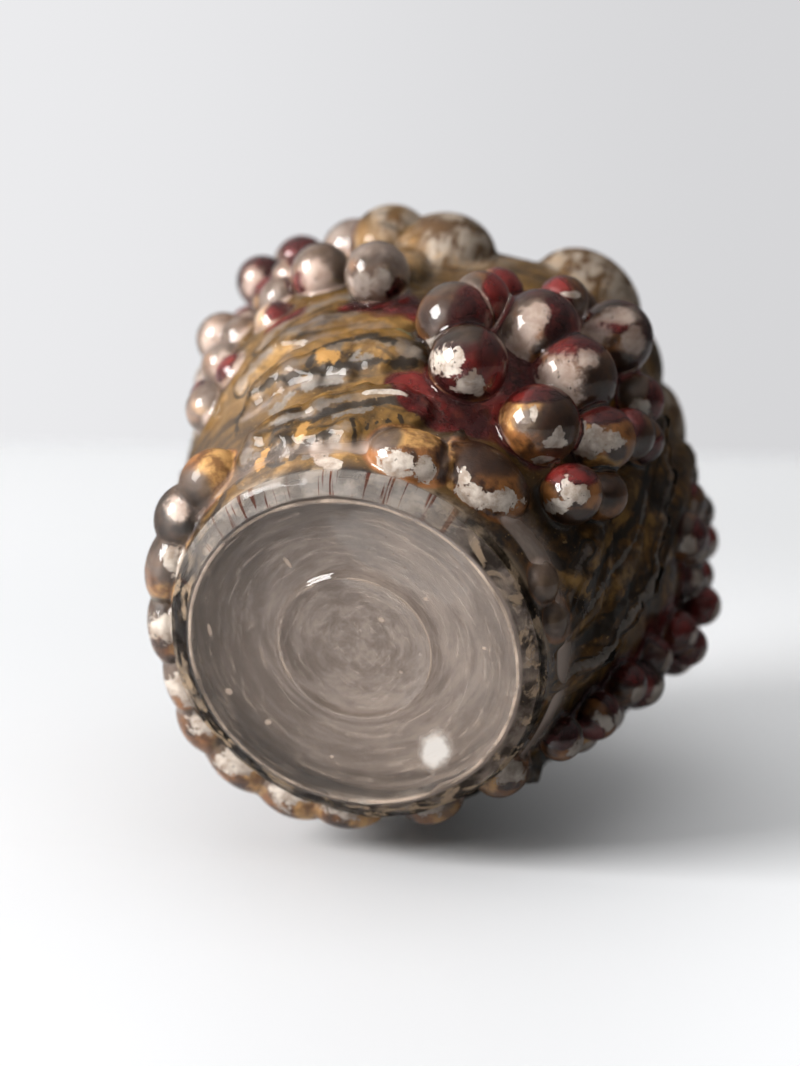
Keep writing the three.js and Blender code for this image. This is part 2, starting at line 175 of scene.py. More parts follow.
def value_noise(x, y, seed, periodic_x=None):
    """Smooth noise in -1..1 on a unit lattice, seeded by a hash of the lattice corner."""
    xi, yi = np.floor(x).astype(np.int64), np.floor(y).astype(np.int64)
    fx, fy = smooth(x - xi), smooth(y - yi)

    def corner(i, j):
        if periodic_x:
            i = i % periodic_x
        h = (i * 374761393 + j * 668265263 + seed * 1274126177) & 0xFFFFFFFF
        h = ((h ^ (h >> 13)) * 1103515245) & 0xFFFFFFFF
        h = (h ^ (h >> 16)) & 0xFFFF
        return h / 32767.5 - 1.0

    a, b, c, d = corner(xi, yi), corner(xi + 1, yi), corner(xi, yi + 1), corner(xi + 1, yi + 1)
    return (a * (1 - fx) + b * fx) * (1 - fy) + (c * (1 - fx) + d * fx) * fy


def leaf_fields(ang, z):
    """Height of the leaves, how deep in a vein, and how near a leaf's edge, at relief angles and heights."""
    high = np.zeros_like(z)
    vein = np.zeros_like(z)
    edge = np.zeros_like(z)
    on = np.zeros_like(z)
    for n, (a0, z0, a1, z1, wide, rise, teeth) in enumerate(LEAVES):
        ref = 0.5 * (np.interp(z0, GROUND_Z, GROUND_R) + np.interp(z1, GROUND_Z, GROUND_R)) + 2
        span = math.radians(apart(a1, a0)) * ref
        length = math.hypot(span, z1 - z0)
        ux, uz = span / length, (z1 - z0) / length
        x = np.radians(apart(ang, a0)) * ref
        y = z - z0
        s = (x * ux + y * uz) / length
        t = x * uz - y * ux
        t = t - 2.2 * np.sin(np.clip(s, 0, 1) * math.pi * (1.2 if n % 2 else -1.1))  # the midrib bends
        sc = np.clip(s, 0, 1)
        half = wide * np.maximum(np.sin(np.pi * sc ** 0.72), 0) ** 0.75
        saw = (sc * teeth + 0.15 * np.sign(t)) % 1.0
        half = half * (0.86 + 0.20 * (1 - saw)) + 0.01
        inside = (half - np.abs(t))
        body = smooth(inside / 2.3) * smooth(s / 0.05) * smooth((1.02 - s) / 0.04)
        side = np.abs(t)
        dome = 0.62 + 0.38 * (1 - np.clip(side / half, 0, 1) ** 2)
        curl = np.exp(-((inside - 0.9) / 0.8) ** 2)
        mid = np.exp(-(t / 0.75) ** 2)
        veins = 0.5 + 0.5 * np.cos(2 * np.pi * (s * length / 3.1 - side * 0.21))
        veins = veins ** 3 * smooth((side - 0.5) / 1.5) * smooth(inside / 1.0)
        h = body * (rise * dome + 0.32 * curl - 0.6 * mid - 0.13 * veins)
        take = h > high
        high = np.where(take, h, high)
        vein = np.where(take, body * np.maximum(mid, veins), vein)
        edge = np.where(take, body * curl, edge)
        on = np.where(take, body, on)
    return high, vein, edge, on


def crest_fields(ang, z):
    """Height of the raised crests, and how near a point is to one."""
    high = np.zeros_like(z)
    near = np.zeros_like(z)
    for n, (pts, rise, wide) in enumerate(CRESTS):
        a0 = pts[len(pts) // 2][0]
        ref = float(np.interp(pts[len(pts) // 2][1], GROUND_Z, GROUND_R)) + 2
        x, y = np.radians(apart(ang, a0)) * ref, z
        px = np.array([math.radians(apart(p, a0)) * ref for p, _ in pts])
        py = np.array([h for _, h in pts], float)
        best = np.full_like(z, 1e9)
        where = np.zeros_like(z)
        total = 0.0
        for k in range(len(pts) - 1):
            dx, dy = px[k + 1] - px[k], py[k + 1] - py[k]
            l2 = dx * dx + dy * dy
            t = np.clip(((x - px[k]) * dx + (y - py[k]) * dy) / l2, 0, 1)
            d = np.hypot(x - px[k] - t * dx, y - py[k] - t * dy)
            near_this = d < best
            best = np.where(near_this, d, best)
            where = np.where(near_this, total + t * math.sqrt(l2), where)
            total += math.sqrt(l2)
        ends = smooth(where / 4.0 + 0.15) * smooth((total - where) / 4.0 + 0.15)
        wavy = 1 + 0.22 * np.sin(where * 0.62 + n) + 0.12 * np.sin(where * 1.3 + 2 * n)
        w = wide * (1 + 0.25 * np.sin(where * 0.9 + n))
        h = rise * wavy * ends * (0.62 * np.exp(-(best / w) ** 2) + 0.38 * np.exp(-(best / (2.6 * w)) ** 2))
        high = np.maximum(high, h)
        near = np.maximum(near, ends * np.exp(-(best / (1.15 * w)) ** 2))
    return high, near


def wall_radius(ang, z, depth=0.0):
    """Radius of the wall with mounds, leaves and a slow ripple, at a depth under the outer surface."""
    r = ground(z)
    mound = np.zeros_like(z)
    for key, mid in BUNCHES.items():
        q = np.hypot(np.abs(apart(ang, mid)) / 25.0, np.abs(z - 58) / 42.0)
        mound = np.maximum(mound, smooth(1.25 - q) * np.maximum(np.interp(z, ENVELOPE[:, 0], ENVELOPE[:, 1]) - r - SUNK[key], 0))
    leaf = leaf_fields(ang, z)[0]
    crest = crest_fields(ang, z)[0]
    period = int(round(2 * math.pi * 42 / 9.0))
    xs = ang / 360.0 * period
    ripple = 0.50 * value_noise(xs, z / 9.0, 3, period) + 0.07 * value_noise(xs * 2, z / 4.5, 7, period * 2)
    fade = smooth((z - 3.5) / 6) * smooth((112 - z) / 10)
    return r + (np.maximum(mound, leaf) + 0.25 * np.minimum(mound, leaf) + ripple + crest) * fade - depth


# ---------------------------------------------------------------- mesh helpers (numpy, mm)
def grid_solid(depth, z_low, z_high, nphi, nz):
    """A closed solid of the wall between two heights, flat at both ends."""
    ang = np.arange(nphi) * 360.0 / nphi
    zs = np.linspace(z_low, z_high, nz)
    A, Z = np.meshgrid(ang, zs)
    R = wall_radius(A, Z, depth)
    th = np.radians(A + TURN)
    v = np.stack([R * np.cos(th), R * np.sin(th), Z], -1).reshape(-1, 3)
    i = np.arange(nz - 1)[:, None] * nphi
    j = np.arange(nphi)[None, :]
    jn = (j + 1) % nphi
    quads = np.stack([i + j, i + jn, i + nphi + jn, i + nphi + j], -1).reshape(-1, 4)
    v = np.vstack([v, [[0, 0, z_low], [0, 0, z_high]]])
    b, t = len(v) - 2, len(v) - 1
    j = np.arange(nphi)
    jn = (j + 1) % nphi
    low = np.stack([np.full(nphi, b), jn, j], -1)
    top = np.stack([np.full(nphi, t), (nz - 1) * nphi + j, (nz - 1) * nphi + jn], -1)
    return v, quads.tolist() + low.tolist() + top.tolist()


def ball(centre, axes, nu=32, nv=20):
    """A closed ellipsoid; axes is three vectors."""
    u = np.arange(nu) * 2 * math.pi / nu
    w = np.linspace(0, math.pi, nv + 1)[1:-1]
    U, W = np.meshgrid(u, w)
    p = np.stack([np.sin(W) * np.cos(U), np.sin(W) * np.sin(U), np.cos(W)], -1).reshape(-1, 3)
    p = np.vstack([p, [[0, 0, 1], [0, 0, -1]]])
    v = p @ np.array(axes) + np.array(centre)
    rows = nv - 1
    faces = []
    for a in range(rows - 1):
        for b in range(nu):
            bn = (b + 1) % nu
            faces.append((a * nu + b, (a + 1) * nu + b, (a + 1) * nu + bn, a * nu + bn))
    n, s = len(p) - 2, len(p) - 1
    for b in range(nu):
        bn = (b + 1) % nu
        faces.append((n, b, bn))
        faces.append((s, (rows - 1) * nu + bn, (rows - 1) * nu + b))
    return v, faces


def polar(a, z, r):
    th = math.radians(a + TURN)
    return np.array([r * math.cos(th), r * math.sin(th), z]), np.array([math.cos(th), math.sin(th), 0.0]), np.array([-math.sin(th), math.cos(th), 0.0])


def relief_solid(depth, voxel):
    """The wall, grapes and lobes joined into one closed skin at a depth under the outer surface."""
    parts = [grid_solid(depth, -6.0, 119.0, 540, 300)]
    rng = np.random.default_rng(11)
    for name, rows in GRAPES.items():
        for a, z, r, size in rows:
            c, out, side = polar(a, z, r)
            k = 1 + rng.uniform(-0.035, 0.035, 3)
            s = size * (1.0 if depth == 0 else LENS)
            parts.append(ball(c, [side * s * k[0], np.array([0, 0, 1.0]) * s * k[1], out * s * k[2]]))
    for a, z, r, (wide, tall, outw) in LOBES:
        c, out, side = polar(a, z, r)
        tilt = math.radians(rng.uniform(-14, 14))
        up = np.array([0, 0, 1.0])
        s1 = side * math.cos(tilt) + up * math.sin(tilt)
        u1 = up * math.cos(tilt) - side * math.sin(tilt)
        parts.append(ball(c, [s1 * max(wide - depth, 1), u1 * max(tall - depth, 1), out * max(outw - depth, 0.8)], 40, 24))
    verts, faces, base = [], [], 0
    for v, f in parts:
        verts.append(v)
        faces += [[i + base for i in q] for q in f]
        base += len(v)
    me = bpy.data.meshes.new("tmp")
    me.from_pydata(np.vstack(verts).tolist(), [], faces)
    ob = bpy.data.objects.new("tmp", me)
    bpy.context.scene.collection.objects.link(ob)
    mod = ob.modifiers.new("r", "REMESH")
    mod.mode = "VOXEL"
    mod.voxel_size = voxel
    mod.adaptivity = 0.0
    dg = bpy.context.evaluated_depsgraph_get()
    out = bpy.data.meshes.new_from_object(ob.evaluated_get(dg))
    bpy.data.objects.remove(ob)
    bpy.data.meshes.remove(me)
    return out


def mesh_arrays(me):
    co = np.empty(len(me.vertices) * 3, np.float32)
    me.vertices.foreach_get("co", co)
    co = co.reshape(-1, 3).astype(float)
    ed = np.empty(len(me.edges) * 2, np.int32)
    me.edges.foreach_get("vertices", ed)
    return co, ed.reshape(-1, 2)


def relax(co, ed, rounds, amount, hold=None):
    """Evens out a mesh: each vertex moves part of the way to the middle of its neighbours, then most of the way back out."""
    n = len(co)
    count = np.bincount(ed[:, 0], minlength=n) + np.bincount(ed[:, 1], minlength=n)
    count = np.maximum(count, 1)[:, None]
    for k in range(rounds):
        for lam in (amount, -amount * 0.92):
            acc = np.zeros_like(co)
            for ax in range(3):
                acc[:, ax] = np.bincount(ed[:, 0], co[ed[:, 1], ax], n) + np.bincount(ed[:, 1], co[ed[:, 0], ax], n)
            step = (acc / count - co) * lam
            if hold is not None:
                step[hold] = 0
            co = co + step
    return co


def cut_band(me, low, high):
    """Keeps what lies between two heights. The cut edges lie exactly on the two planes."""
    bm = bmesh.new()
    bm.from_mesh(me)
    for z, flip in ((low, False), (high, True)):
        bmesh.ops.bisect_plane(bm, geom=bm.verts[:] + bm.edges[:] + bm.faces[:], dist=1e-4, plane_co=(0, 0, z),
                               plane_no=(0, 0, 1), clear_inner=not flip, clear_outer=flip)
    bm.verts.ensure_lookup_table()
    loops = []
    for z in (low, high):
        edges = [e for e in bm.edges if e.is_boundary and all(abs(v.co.z - z) < 1e-3 for v in e.verts)]
        nxt = {}
        for e in edges:
            a, b = e.verts
            nxt.setdefault(a.index, []).append(b.index)
            nxt.setdefault(b.index, []).append(a.index)
        best = []
        seen = set()
        for start in nxt:
            if start in seen:
                continue
            loop, at, prev = [start], start, None
            seen.add(start)
            while True:
                step = [w for w in nxt[at] if w != prev and (w not in seen)]
                if not step:
                    break
                prev, at = at, step[0]
                seen.add(at)
                loop.append(at)
            if len(loop) > len(best):
                best = loop
        loops.append(best)
    co = np.array([v.co[:] for v in bm.verts])
    faces = [[v.index for v in f.verts] for f in bm.faces]
    bm.free()
    return co, faces, loops


def zip_loops(co, a, b, up):
    """Triangles between two closed loops round the axis. up: b lies further along the surface's outward-left walk."""
    def by_angle(loop):
        loop = np.array(loop)
        th = np.arctan2(co[loop, 1], co[loop, 0])
        area = 0.0
        x, y = co[loop, 0], co[loop, 1]
        area = np.sum(x * np.roll(y, -1) - y * np.roll(x, -1))
        if area < 0:
            loop, th = loop[::-1], th[::-1]
        k = int(np.argmin(th % (2 * math.pi)))
        loop = np.roll(loop, -k)
        t = np.unwrap(np.arctan2(co[loop, 1], co[loop, 0]))
        t = t - 2 * math.pi * math.floor(t[0] / (2 * math.pi))
        return loop, t

    la, ta = by_angle(a)
    lb, tb = by_angle(b)
    i = j = 0
    na, nb = len(la), len(lb)
    ta = np.append(ta, ta[0] + 2 * math.pi)
    tb = np.append(tb, tb[0] + 2 * math.pi)
    tris = []
    while i < na or j < nb:
        if j >= nb or (i < na and ta[i + 1] <= tb[j + 1]):
            tri = (la[i % na], la[(i + 1) % na], lb[j % nb])
            i += 1
        else:
            tri = (la[i % na], lb[(j + 1) % nb], lb[j % nb])
            j += 1
        tris.append(tri if up else tri[::-1])
    return [list(map(int, t)) for t in tris]


def lathe_rows(rows, n, wobble=None):
    """Vertices of rings, one per (z, r) row; a row with r 0 is one vertex. Returns vertices and a list of index arrays."""
    verts, idx = [], []
    at = 0
    th = np.arange(n) * 2 * math.pi / n
    for k, (z, r) in enumerate(rows):
        if r <= 1e-9:
            verts.append(np.array([[0.0, 0.0, z]]))
            idx.append(np.array([at]))
            at += 1
        else:
            rr, zz = (np.full(n, float(r)), np.full(n, float(z))) if wobble is None else wobble(th, z, r)
            verts.append(np.stack([rr * np.cos(th), rr * np.sin(th), zz], -1))
            idx.append(np.arange(at, at + n))
            at += n
    return np.vstack(verts), idx


def lathe_faces(idx, flip=False):
    faces = []
    for a, b in zip(idx[:-1], idx[1:]):
        if len(a) == 1 and len(b) == 1:
            continue
        n = max(len(a), len(b))
        j = np.arange(n)
        jn = (j + 1) % n
        if len(a) == 1:
            f = np.stack([np.full(n, a[0]), b[jn], b[j]], -1)
        elif len(b) == 1:
            f = np.stack([a[j], a[jn], np.full(n, b[0])], -1)
        else:
            f = np.stack([a[j], a[jn], b[jn], b[j]], -1)
        if flip:
            f = f[:, ::-1]
        faces += f.tolist()
    return faces


def curve_rows(points, step):
    """(z, r) rows along a smooth curve through the points."""
    p = np.array(points, float)
    out = []
    ext = np.vstack([2 * p[0] - p[1], p, 2 * p[-1] - p[-2]])
    for k in range(len(p) - 1):
        p0, p1, p2, p3 = ext[k:k + 4]
        m = max(1, int(math.ceil(np.linalg.norm(p2 - p1) / step)))
        # centripetal Catmull-Rom keeps the curve from overshooting
        d1, d2, d3 = (max(np.linalg.norm(b - a), 1e-6) ** 0.5 for a, b in ((p0, p1), (p1, p2), (p2, p3)))
        m1 = (p2 - p1) + d2 * ((p1 - p0) / d1 - (p2 - p0) / (d1 + d2))
        m2 = (p2 - p1) + d2 * ((p3 - p2) / d3 - (p3 - p1) / (d2 + d3))
        for q in range(m):
            t = q / m
            out.append((2 * t**3 - 3 * t**2 + 1) * p1 + (t**3 - 2 * t**2 + t) * m1 + (-2 * t**3 + 3 * t**2) * p2 + (t**3 - t**2) * m2)
    out.append(p[-1])
    return [tuple(x) for x in out]


def new_object(name, co_mm, faces):
    me = bpy.data.meshes.new(name)
    me.from_pydata((co_mm * MM).tolist(), [], faces)
    me.validate()
    me.polygons.foreach_set("use_smooth", [True] * len(me.polygons))
    ob = bpy.data.objects.new(name, me)
    bpy.context.scene.collection.objects.link(ob)
    return ob


def set_attr(me, name, values):
    at = me.attributes.get(name) or me.attributes.new(name, "FLOAT", "POINT")
    at.data.foreach_set("value", np.asarray(values, np.float32))


# ---------------------------------------------------------------- outer skin of the glass
def build_skin(depth, low, high, rounds):
    me = relief_solid(depth, VOXEL if depth == 0 else VOXEL * 1.1)
    co, ed = mesh_arrays(me)
    co = relax(co, ed, rounds, 0.5)
    me.vertices.foreach_set("co", co.astype(np.float32).ravel())
    me.update()
    out = cut_band(me, low, high)
    bpy.data.meshes.remove(me)
    return out


skin_co, skin_faces, (skin_low, skin_high) = build_skin(0.0, CUT_LOW, CUT_HIGH, 5)

NSEG = 256


def foot_wobble(th, z, r):
    """The pressed foot isn't quite true: its edge wanders a little."""
    k = smooth((r - 20) / 8.0) * smooth((3.4 - z) / 1.5)
    w = 0.34 * np.sin(5 * th + 0.6) + 0.26 * np.sin(9 * th + 2.1) + 0.14 * np.sin(17 * th + 1.0) + 0.08 * np.sin(31 * th)
    return r + w * k, np.full(len(th), float(z))


under = curve_rows([(3.9, 0.0), (3.88, 5.0), (3.72, 8.4), (3.42, 10.6), (3.08, 11.9), (2.72, 12.8), (2.46, 13.3), (2.36, 13.6), (2.55, 13.95), (3.1, 14.4), (3.42, 15.0), (3.35, 16.2), (2.85, 19),
                    (2.0, 22.5), (1.2, 25.6), (0.62, 27.6), (0.28, 28.5), (0.0, 29.15), (0.06, 29.7), (0.5, 30.5), (1.05, 31.6), (1.7, 32.7), (2.4, 33.4)], 0.42)
uv_co, uv_idx = lathe_rows(under, NSEG, foot_wobble)

FLOOR = 8.8
inside_profile = [(CUT_HIGH + 1.0, float(ground(CUT_HIGH + 1.0)))]
for z in (117, 120, 124, 128, 132, 135.4):
    inside_profile.append((z, float(np.interp(z, GROUND[:, 0], GROUND[:, 1]))))
inside_profile += [(137.6, 22.95), (138.8, 23.1), (139.4, 22.5), (139.2, 21.7), (138, 20.6), (135.4, 19.2), (132, 17.7), (128, 17.2), (124, 17.8), (119, 20.4),
                   (114, 24.8), (108, 30.0), (102, 34.6), (94, 38.9), (84, 42.4), (72, 43.8), (60, 43.4), (48, 42.3), (36, 40.5), (25, 38.0), (17, 35.2),
                   (12.6, 32.2), (10.2, 28.6), (9.1, 23.5), (FLOOR, 16), (FLOOR - 0.1, 8), (FLOOR - 0.15, 0.0)]
inner = curve_rows(inside_profile, 1.0)


def inner_wobble(th, z, r):
    if z > 108 and r > 20 and z > 112:
        k = 0.12
    else:
        k = 0.35 * smooth((z - 8) / 10)
    w = np.sin(3 * th + z * 0.05) * 0.5 + np.sin(7 * th - z * 0.09) * 0.35 + np.sin(2 * th + 1.3 + z * 0.13) * 0.4
    return r + w * k, np.full(len(th), float(z))


in_co, in_idx = lathe_rows(inner, NSEG, inner_wobble)

base = len(skin_co)
all_co = np.vstack([skin_co, uv_co, in_co])
uv_idx = [i + base for i in uv_idx]
in_idx = [i + base + len(uv_co) for i in in_idx]
faces = list(skin_faces)
faces += lathe_faces(uv_idx)
faces += zip_loops(all_co, uv_idx[-1], skin_low, True)
faces += zip_loops(all_co, skin_high, in_idx[0], True)
faces += lathe_faces(in_idx)
glass = new_object("moulded_glass", all_co, faces)


def orient(ob):
    bm = bmesh.new()
    bm.from_mesh(ob.data)
    bmesh.ops.recalc_face_normals(bm, faces=bm.faces[:])
    vol = bm.calc_volume(signed=True)
    if vol < 0:
        bmesh.ops.reverse_faces(bm, faces=bm.faces[:])
    open_edges = sum(1 for e in bm.edges if len(e.link_faces) != 2)
    bm.to_mesh(ob.data)
    bm.free()
    print("MESH", ob.name, "faces", len(ob.data.polygons), "volume cm3", round(abs(vol) * 1e6, 1), "edges not shared by two faces", open_edges)


orient(glass)
polish = np.zeros(len(all_co))
for rows in GRAPES.values():
    for a, zz, rr, size in rows:
        c, out, side = polar(a, zz, rr)
        polish = np.maximum(polish, smooth((size + 1.1 - np.linalg.norm(all_co - c, axis=1)) / 0.8))
polish = np.maximum(polish, smooth((7.5 - all_co[:, 2]) / 1.5))
set_attr(glass.data, "polish", polish)


# ---------------------------------------------------------------- painted lining under the surface
FILM_DEPTH, FILM_THICK = 1.0, 0.3
film_co, film_faces, (film_low, film_high) = build_skin(FILM_DEPTH, 2.6, 110.0, 3)


def brushed_top(co):
    """Lowers the lining's top edge by an uneven amount, keeping it on the wall."""
    ang, z = angle_of(co), co[:, 2]
    drop = 2.6 + 1.6 * value_noise(ang / 360 * 14, ang * 0, 21, 14) + 0.9 * value_noise(ang / 360 * 46, ang * 0, 22, 46) + 0.35 * value_noise(ang / 360 * 150, ang * 0, 23, 150)
    z_new = z - smooth((z - 101) / 9.0) * drop
    r = np.where(z > 101, wall_radius(ang, z_new, FILM_DEPTH), np.hypot(co[:, 0], co[:, 1]))
    # eases from the joined skin to the plain wall
    r = np.hypot(co[:, 0], co[:, 1]) + (r - np.hypot(co[:, 0], co[:, 1])) * smooth((z - 101) / 2.0)
    th = np.radians(ang + TURN)
    return np.stack([r * np.cos(th), r * np.sin(th), z_new], -1)


def film_normals(co, faces):
    tri = []
    for f in faces:
        for k in range(1, len(f) - 1):
            tri.append((f[0], f[k], f[k + 1]))
    tri = np.array(tri)
    n = np.cross(co[tri[:, 1]] - co[tri[:, 0]], co[tri[:, 2]] - co[tri[:, 0]])
    out = np.zeros_like(co)
    for k in range(3):
        for ax in range(3):
            out[:, ax] += np.bincount(tri[:, k], n[:, ax], len(co))
    return out / np.maximum(np.linalg.norm(out, axis=1, keepdims=True), 1e-9)


def angle_of(co):
    return (np.degrees(np.arctan2(co[:, 1], co[:, 0])) - TURN) % 360.0


CAMERA_AT = np.array([0.0, 0.0, 0.0])
e1 = np.array([math.cos(math.radians(TURN)), math.sin(math.radians(TURN)), 0.0])
e2 = np.array([-e1[1], e1[0], 0.0])
ax = np.array([0.0, 0.0, 1.0])


def to_frame(v):
    return v[0] * e1 + v[1] * e2 + v[2] * ax


CAMERA_AT = to_frame((220.16, 0.0, -350.55))
CAMERA_RIGHT = to_frame((0.41949, 0.87563, 0.23938))

# what shows in a grape: kind, then across, up, half width, half height in grape radii. The dark patches on a grape's
# right and lower side are dark paint and painted shade, and the grey ones on its top and rim are painted reflection.
C, M, D, G, S = "cream", "maroon", "dark_paint_and_shade", "goldp", "painted_grey_reflection"
LOOKS = {
    "b1": [(C, 0.0, 0.42, 0.30, 0.30), (C, -0.22, 0.12, 0.28, 0.45), (C, -0.45, -0.35, 0.36, 0.40), (C, -0.42, -0.78, 0.30, 0.3),
           (M, 0.62, 0.25, 0.50, 0.60), (M, 0.7, -0.2, 0.35, 0.4), (D, 0.42, -0.05, 0.35, 0.40), (D, 0.12, -0.38, 0.30, 0.2), (S, -0.4, 0.8, 0.8, 0.36), (S, -0.85, 0.1, 0.3, 0.6)],
    "b2": [(D, -0.25, 0.1, 0.7, 0.6), (S, -0.3, 0.85, 0.8, 0.2), (M, 0.55, -0.05, 0.55, 0.85), (G, 0.3, -0.2, 0.2, 0.4), (C, -0.25, -0.62, 0.5, 0.22)],
    "b3": [(S, -0.4, 0.3, 0.6, 0.6), (C, 0.0, -0.15, 0.3, 0.35), (M, 0.55, 0.2, 0.45, 0.7)],
    "b4": [(M, -0.3, 0.2, 0.6, 0.7), (C, 0.25, 0.25, 0.45, 0.14), (S, 0.5, -0.2, 0.5, 0.5)],
    "b5": [(C, -0.5, 0.05, 0.38, 0.5), (C, 0.1, 0.55, 0.5, 0.25), (C, 0.5, -0.05, 0.32, 0.4), (D, 0.0, -0.62, 0.6, 0.28), (M, -0.1, 0.28, 0.6, 0.14), (D, 0.85, 0.1, 0.2, 0.6)],
    "b6": [(S, 0.0, 0.62, 0.7, 0.38), (C, -0.48, 0.0, 0.46, 0.46), (C, 0.0, -0.45, 0.52, 0.32), (M, 0.68, 0.0, 0.36, 0.8), (D, 0.45, 0.3, 0.3, 0.45)],
    "b7": [(M, -0.2, 0.78, 0.9, 0.26), (M, -0.9, 0.0, 0.2, 0.7), (C, -0.34, -0.14, 0.56, 0.70), (C, 0.3, 0.46, 0.28, 0.26), (D, 0.62, -0.2, 0.5, 0.7)],
    "b8": [(G, -0.5, 0.4, 0.6, 0.45), (M, -0.1, 0.82, 0.8, 0.25), (S, -0.2, 0.1, 0.35, 0.3), (D, 0.5, 0.1, 0.5, 0.8), (C, 0.36, -0.40, 0.32, 0.16), (C, 0.5, -0.14, 0.12, 0.2), (C, -0.12, 0.3, 0.1, 0.22), (C, 0.1, -0.82, 0.3, 0.08)],
    "b9": [(M, -0.1, 0.78, 0.8, 0.3), (G, -0.66, 0.3, 0.28, 0.4), (C, -0.34, -0.08, 0.56, 0.5), (C, 0.28, 0.0, 0.44, 0.30), (D, 0.42, -0.3, 0.3, 0.3), (G, 0.0, -0.7, 0.6, 0.2)],
    "b10": [(M, 0.0, 0.68, 0.8, 0.36), (C, -0.08, 0.12, 0.26, 0.5), (C, -0.45, -0.38, 0.5, 0.24), (C, 0.34, -0.02, 0.24, 0.36), (D, 0.22, 0.28, 0.16, 0.16), (D, 0.2, -0.7, 0.8, 0.25)],
    "b11": [(M, -0.3, 0.4, 0.7, 0.5), (D, 0.4, -0.2, 0.6, 0.7)],
    "b12": [(D, 0.1, 0.2, 0.8, 0.7), (G, -0.3, -0.3, 0.4, 0.4)],
    "a1": [(G, 0.42, -0.15, 0.22, 0.4), (S, -0.1, 0.7, 0.8, 0.4), (C, 0.15, -0.15, 0.32, 0.5), (D, 0.66, 0.1, 0.34, 0.6), (C, -0.5, -0.3, 0.35, 0.4), (M, 0.55, -0.4, 0.3, 0.3)],
    "a2": [(G, 0.4, -0.1, 0.22, 0.35), (M, -0.7, -0.3, 0.2, 0.4), (C, -0.25, -0.1, 0.5, 0.6), (S, -0.4, 0.6, 0.6, 0.4), (D, 0.55, 0.35, 0.4, 0.5), (C, 0.2, -0.5, 0.5, 0.3)],
    "a3": [(C, -0.45, 0.0, 0.4, 0.6), (M, 0.5, 0.2, 0.5, 0.6), (S, 0.0, -0.6, 0.6, 0.3), (D, -0.9, -0.1, 0.14, 0.5)],
    "a4": [(M, 0.1, 0.6, 0.8, 0.4), (C, 0.0, 0.05, 0.4, 0.3), (M, 0.2, -0.5, 0.6, 0.3)],
    "a5": [(M, -0.3, -0.7, 0.5, 0.2), (S, 0.0, 0.5, 0.8, 0.4), (C, -0.4, -0.1, 0.35, 0.3), (C, 0.2, 0.3, 0.2, 0.2), (G, 0.1, -0.5, 0.5, 0.3)],
    "a6": [(M, 0.2, 0.3, 0.7, 0.6), (G, -0.4, -0.3, 0.5, 0.4)],
    "a7": [(G, 0.35, -0.3, 0.3, 0.3), (C, -0.2, 0.0, 0.6, 0.7), (D, -0.75, 0.1, 0.14, 0.5), (D, 0.7, 0.4, 0.3, 0.4)],
    "a8": [(G, 0.45, 0.3, 0.3, 0.3), (C, 0.1, -0.2, 0.6, 0.6), (D, -0.4, 0.7, 0.5, 0.2), (S, -0.6, 0.0, 0.3, 0.6)],
    "a9": [(G, -0.4, 0.1, 0.3, 0.3), (S, 0.0, 0.5, 0.7, 0.5), (C, 0.0, -0.3, 0.45, 0.3), (D, -0.3, -0.65, 0.5, 0.2)],
    "a10": [(G, 0.45, 0.1, 0.3, 0.3), (C, 0.0, 0.0, 0.5, 0.5), (S, 0.0, 0.6, 0.7, 0.3), (D, 0.0, -0.7, 0.5, 0.2)],
}
SPARE = [
    [(C, -0.3, 0.0, 0.42, 0.55), (M, 0.55, 0.3, 0.5, 0.6), (D, 0.3, -0.6, 0.5, 0.25)],
    [(C, 0.0, -0.15, 0.5, 0.36), (M, 0.0, 0.7, 0.9, 0.4), (D, 0.7, -0.2, 0.3, 0.5)],
    [(C, -0.2, 0.25, 0.3, 0.5), (C, 0.35, -0.2, 0.25, 0.4), (M, -0.75, -0.1, 0.3, 0.7), (M, 0.7, 0.4, 0.35, 0.5)],
    [(G, -0.3, 0.4, 0.6, 0.45), (M, 0.3, 0.5, 0.6, 0.4), (C, 0.1, -0.25, 0.35, 0.28)],
    [(S, -0.2, 0.4, 0.7, 0.5), (C, 0.1, -0.3, 0.5, 0.35), (M, 0.75, 0.0, 0.3, 0.7)],
]


LOBE_SIZE = {0: 6.4, 1: 7.5, 2: 6.2, 3: 6.0, 4: 6.4}
SOFT_GRAPES = ("b1", "b3", "b5", "b7")
LOBE_LOOKS = {
    0: [(C, -0.38, -0.15, 0.5, 0.42), (C, 0.35, -0.3, 0.3, 0.38), (D, 0.04, -0.05, 0.12, 0.26), (G, 0.1, 0.62, 0.8, 0.36), (S, -0.65, 0.5, 0.4, 0.3), (D, 0.86, 0.0, 0.14, 0.8)],
    1: [(C, -0.32, -0.34, 0.5, 0.30), (C, 0.38, -0.42, 0.42, 0.22), (C, -0.46, 0.08, 0.13, 0.28), (D, 0.2, 0.5, 0.8, 0.42), (G, -0.92, 0.2, 0.2, 0.8), (S, 0.88, 0.1, 0.2, 0.5)],
    2: [(G, 0.2, 0.2, 0.6, 0.6), (S, -0.5, -0.3, 0.5, 0.6)],
    3: [(S, -0.2, 0.1, 0.9, 0.9), (C, -0.3, 0.2, 0.3, 0.4), (G, 0.3, -0.7, 0.5, 0.3)],
    4: [(S, 0.0, 0.2, 0.8, 0.8), (C, 0.1, 0.1, 0.4, 0.5), (G, -0.3, -0.8, 0.6, 0.3)],
    5: [(C, 0.1, 0.0, 0.55, 0.5), (G, -0.6, -0.3, 0.4, 0.5), (D, 0.0, 0.75, 0.6, 0.25), (D, 0.1, -0.1, 0.1, 0.24)],
    10: [(S, 0.0, 0.0, 0.8, 0.8), (G, 0.2, -0.2, 0.5, 0.4)],
    11: [(S, 0.0, 0.0, 0.7, 0.7), (G, 0.1, 0.1, 0.4, 0.4)],
}
LOBE_SPARE = [(S, 0.0, 0.3, 0.8, 0.6), (C, -0.1, -0.1, 0.5, 0.4), (G, 0.5, -0.5, 0.5, 0.4)]
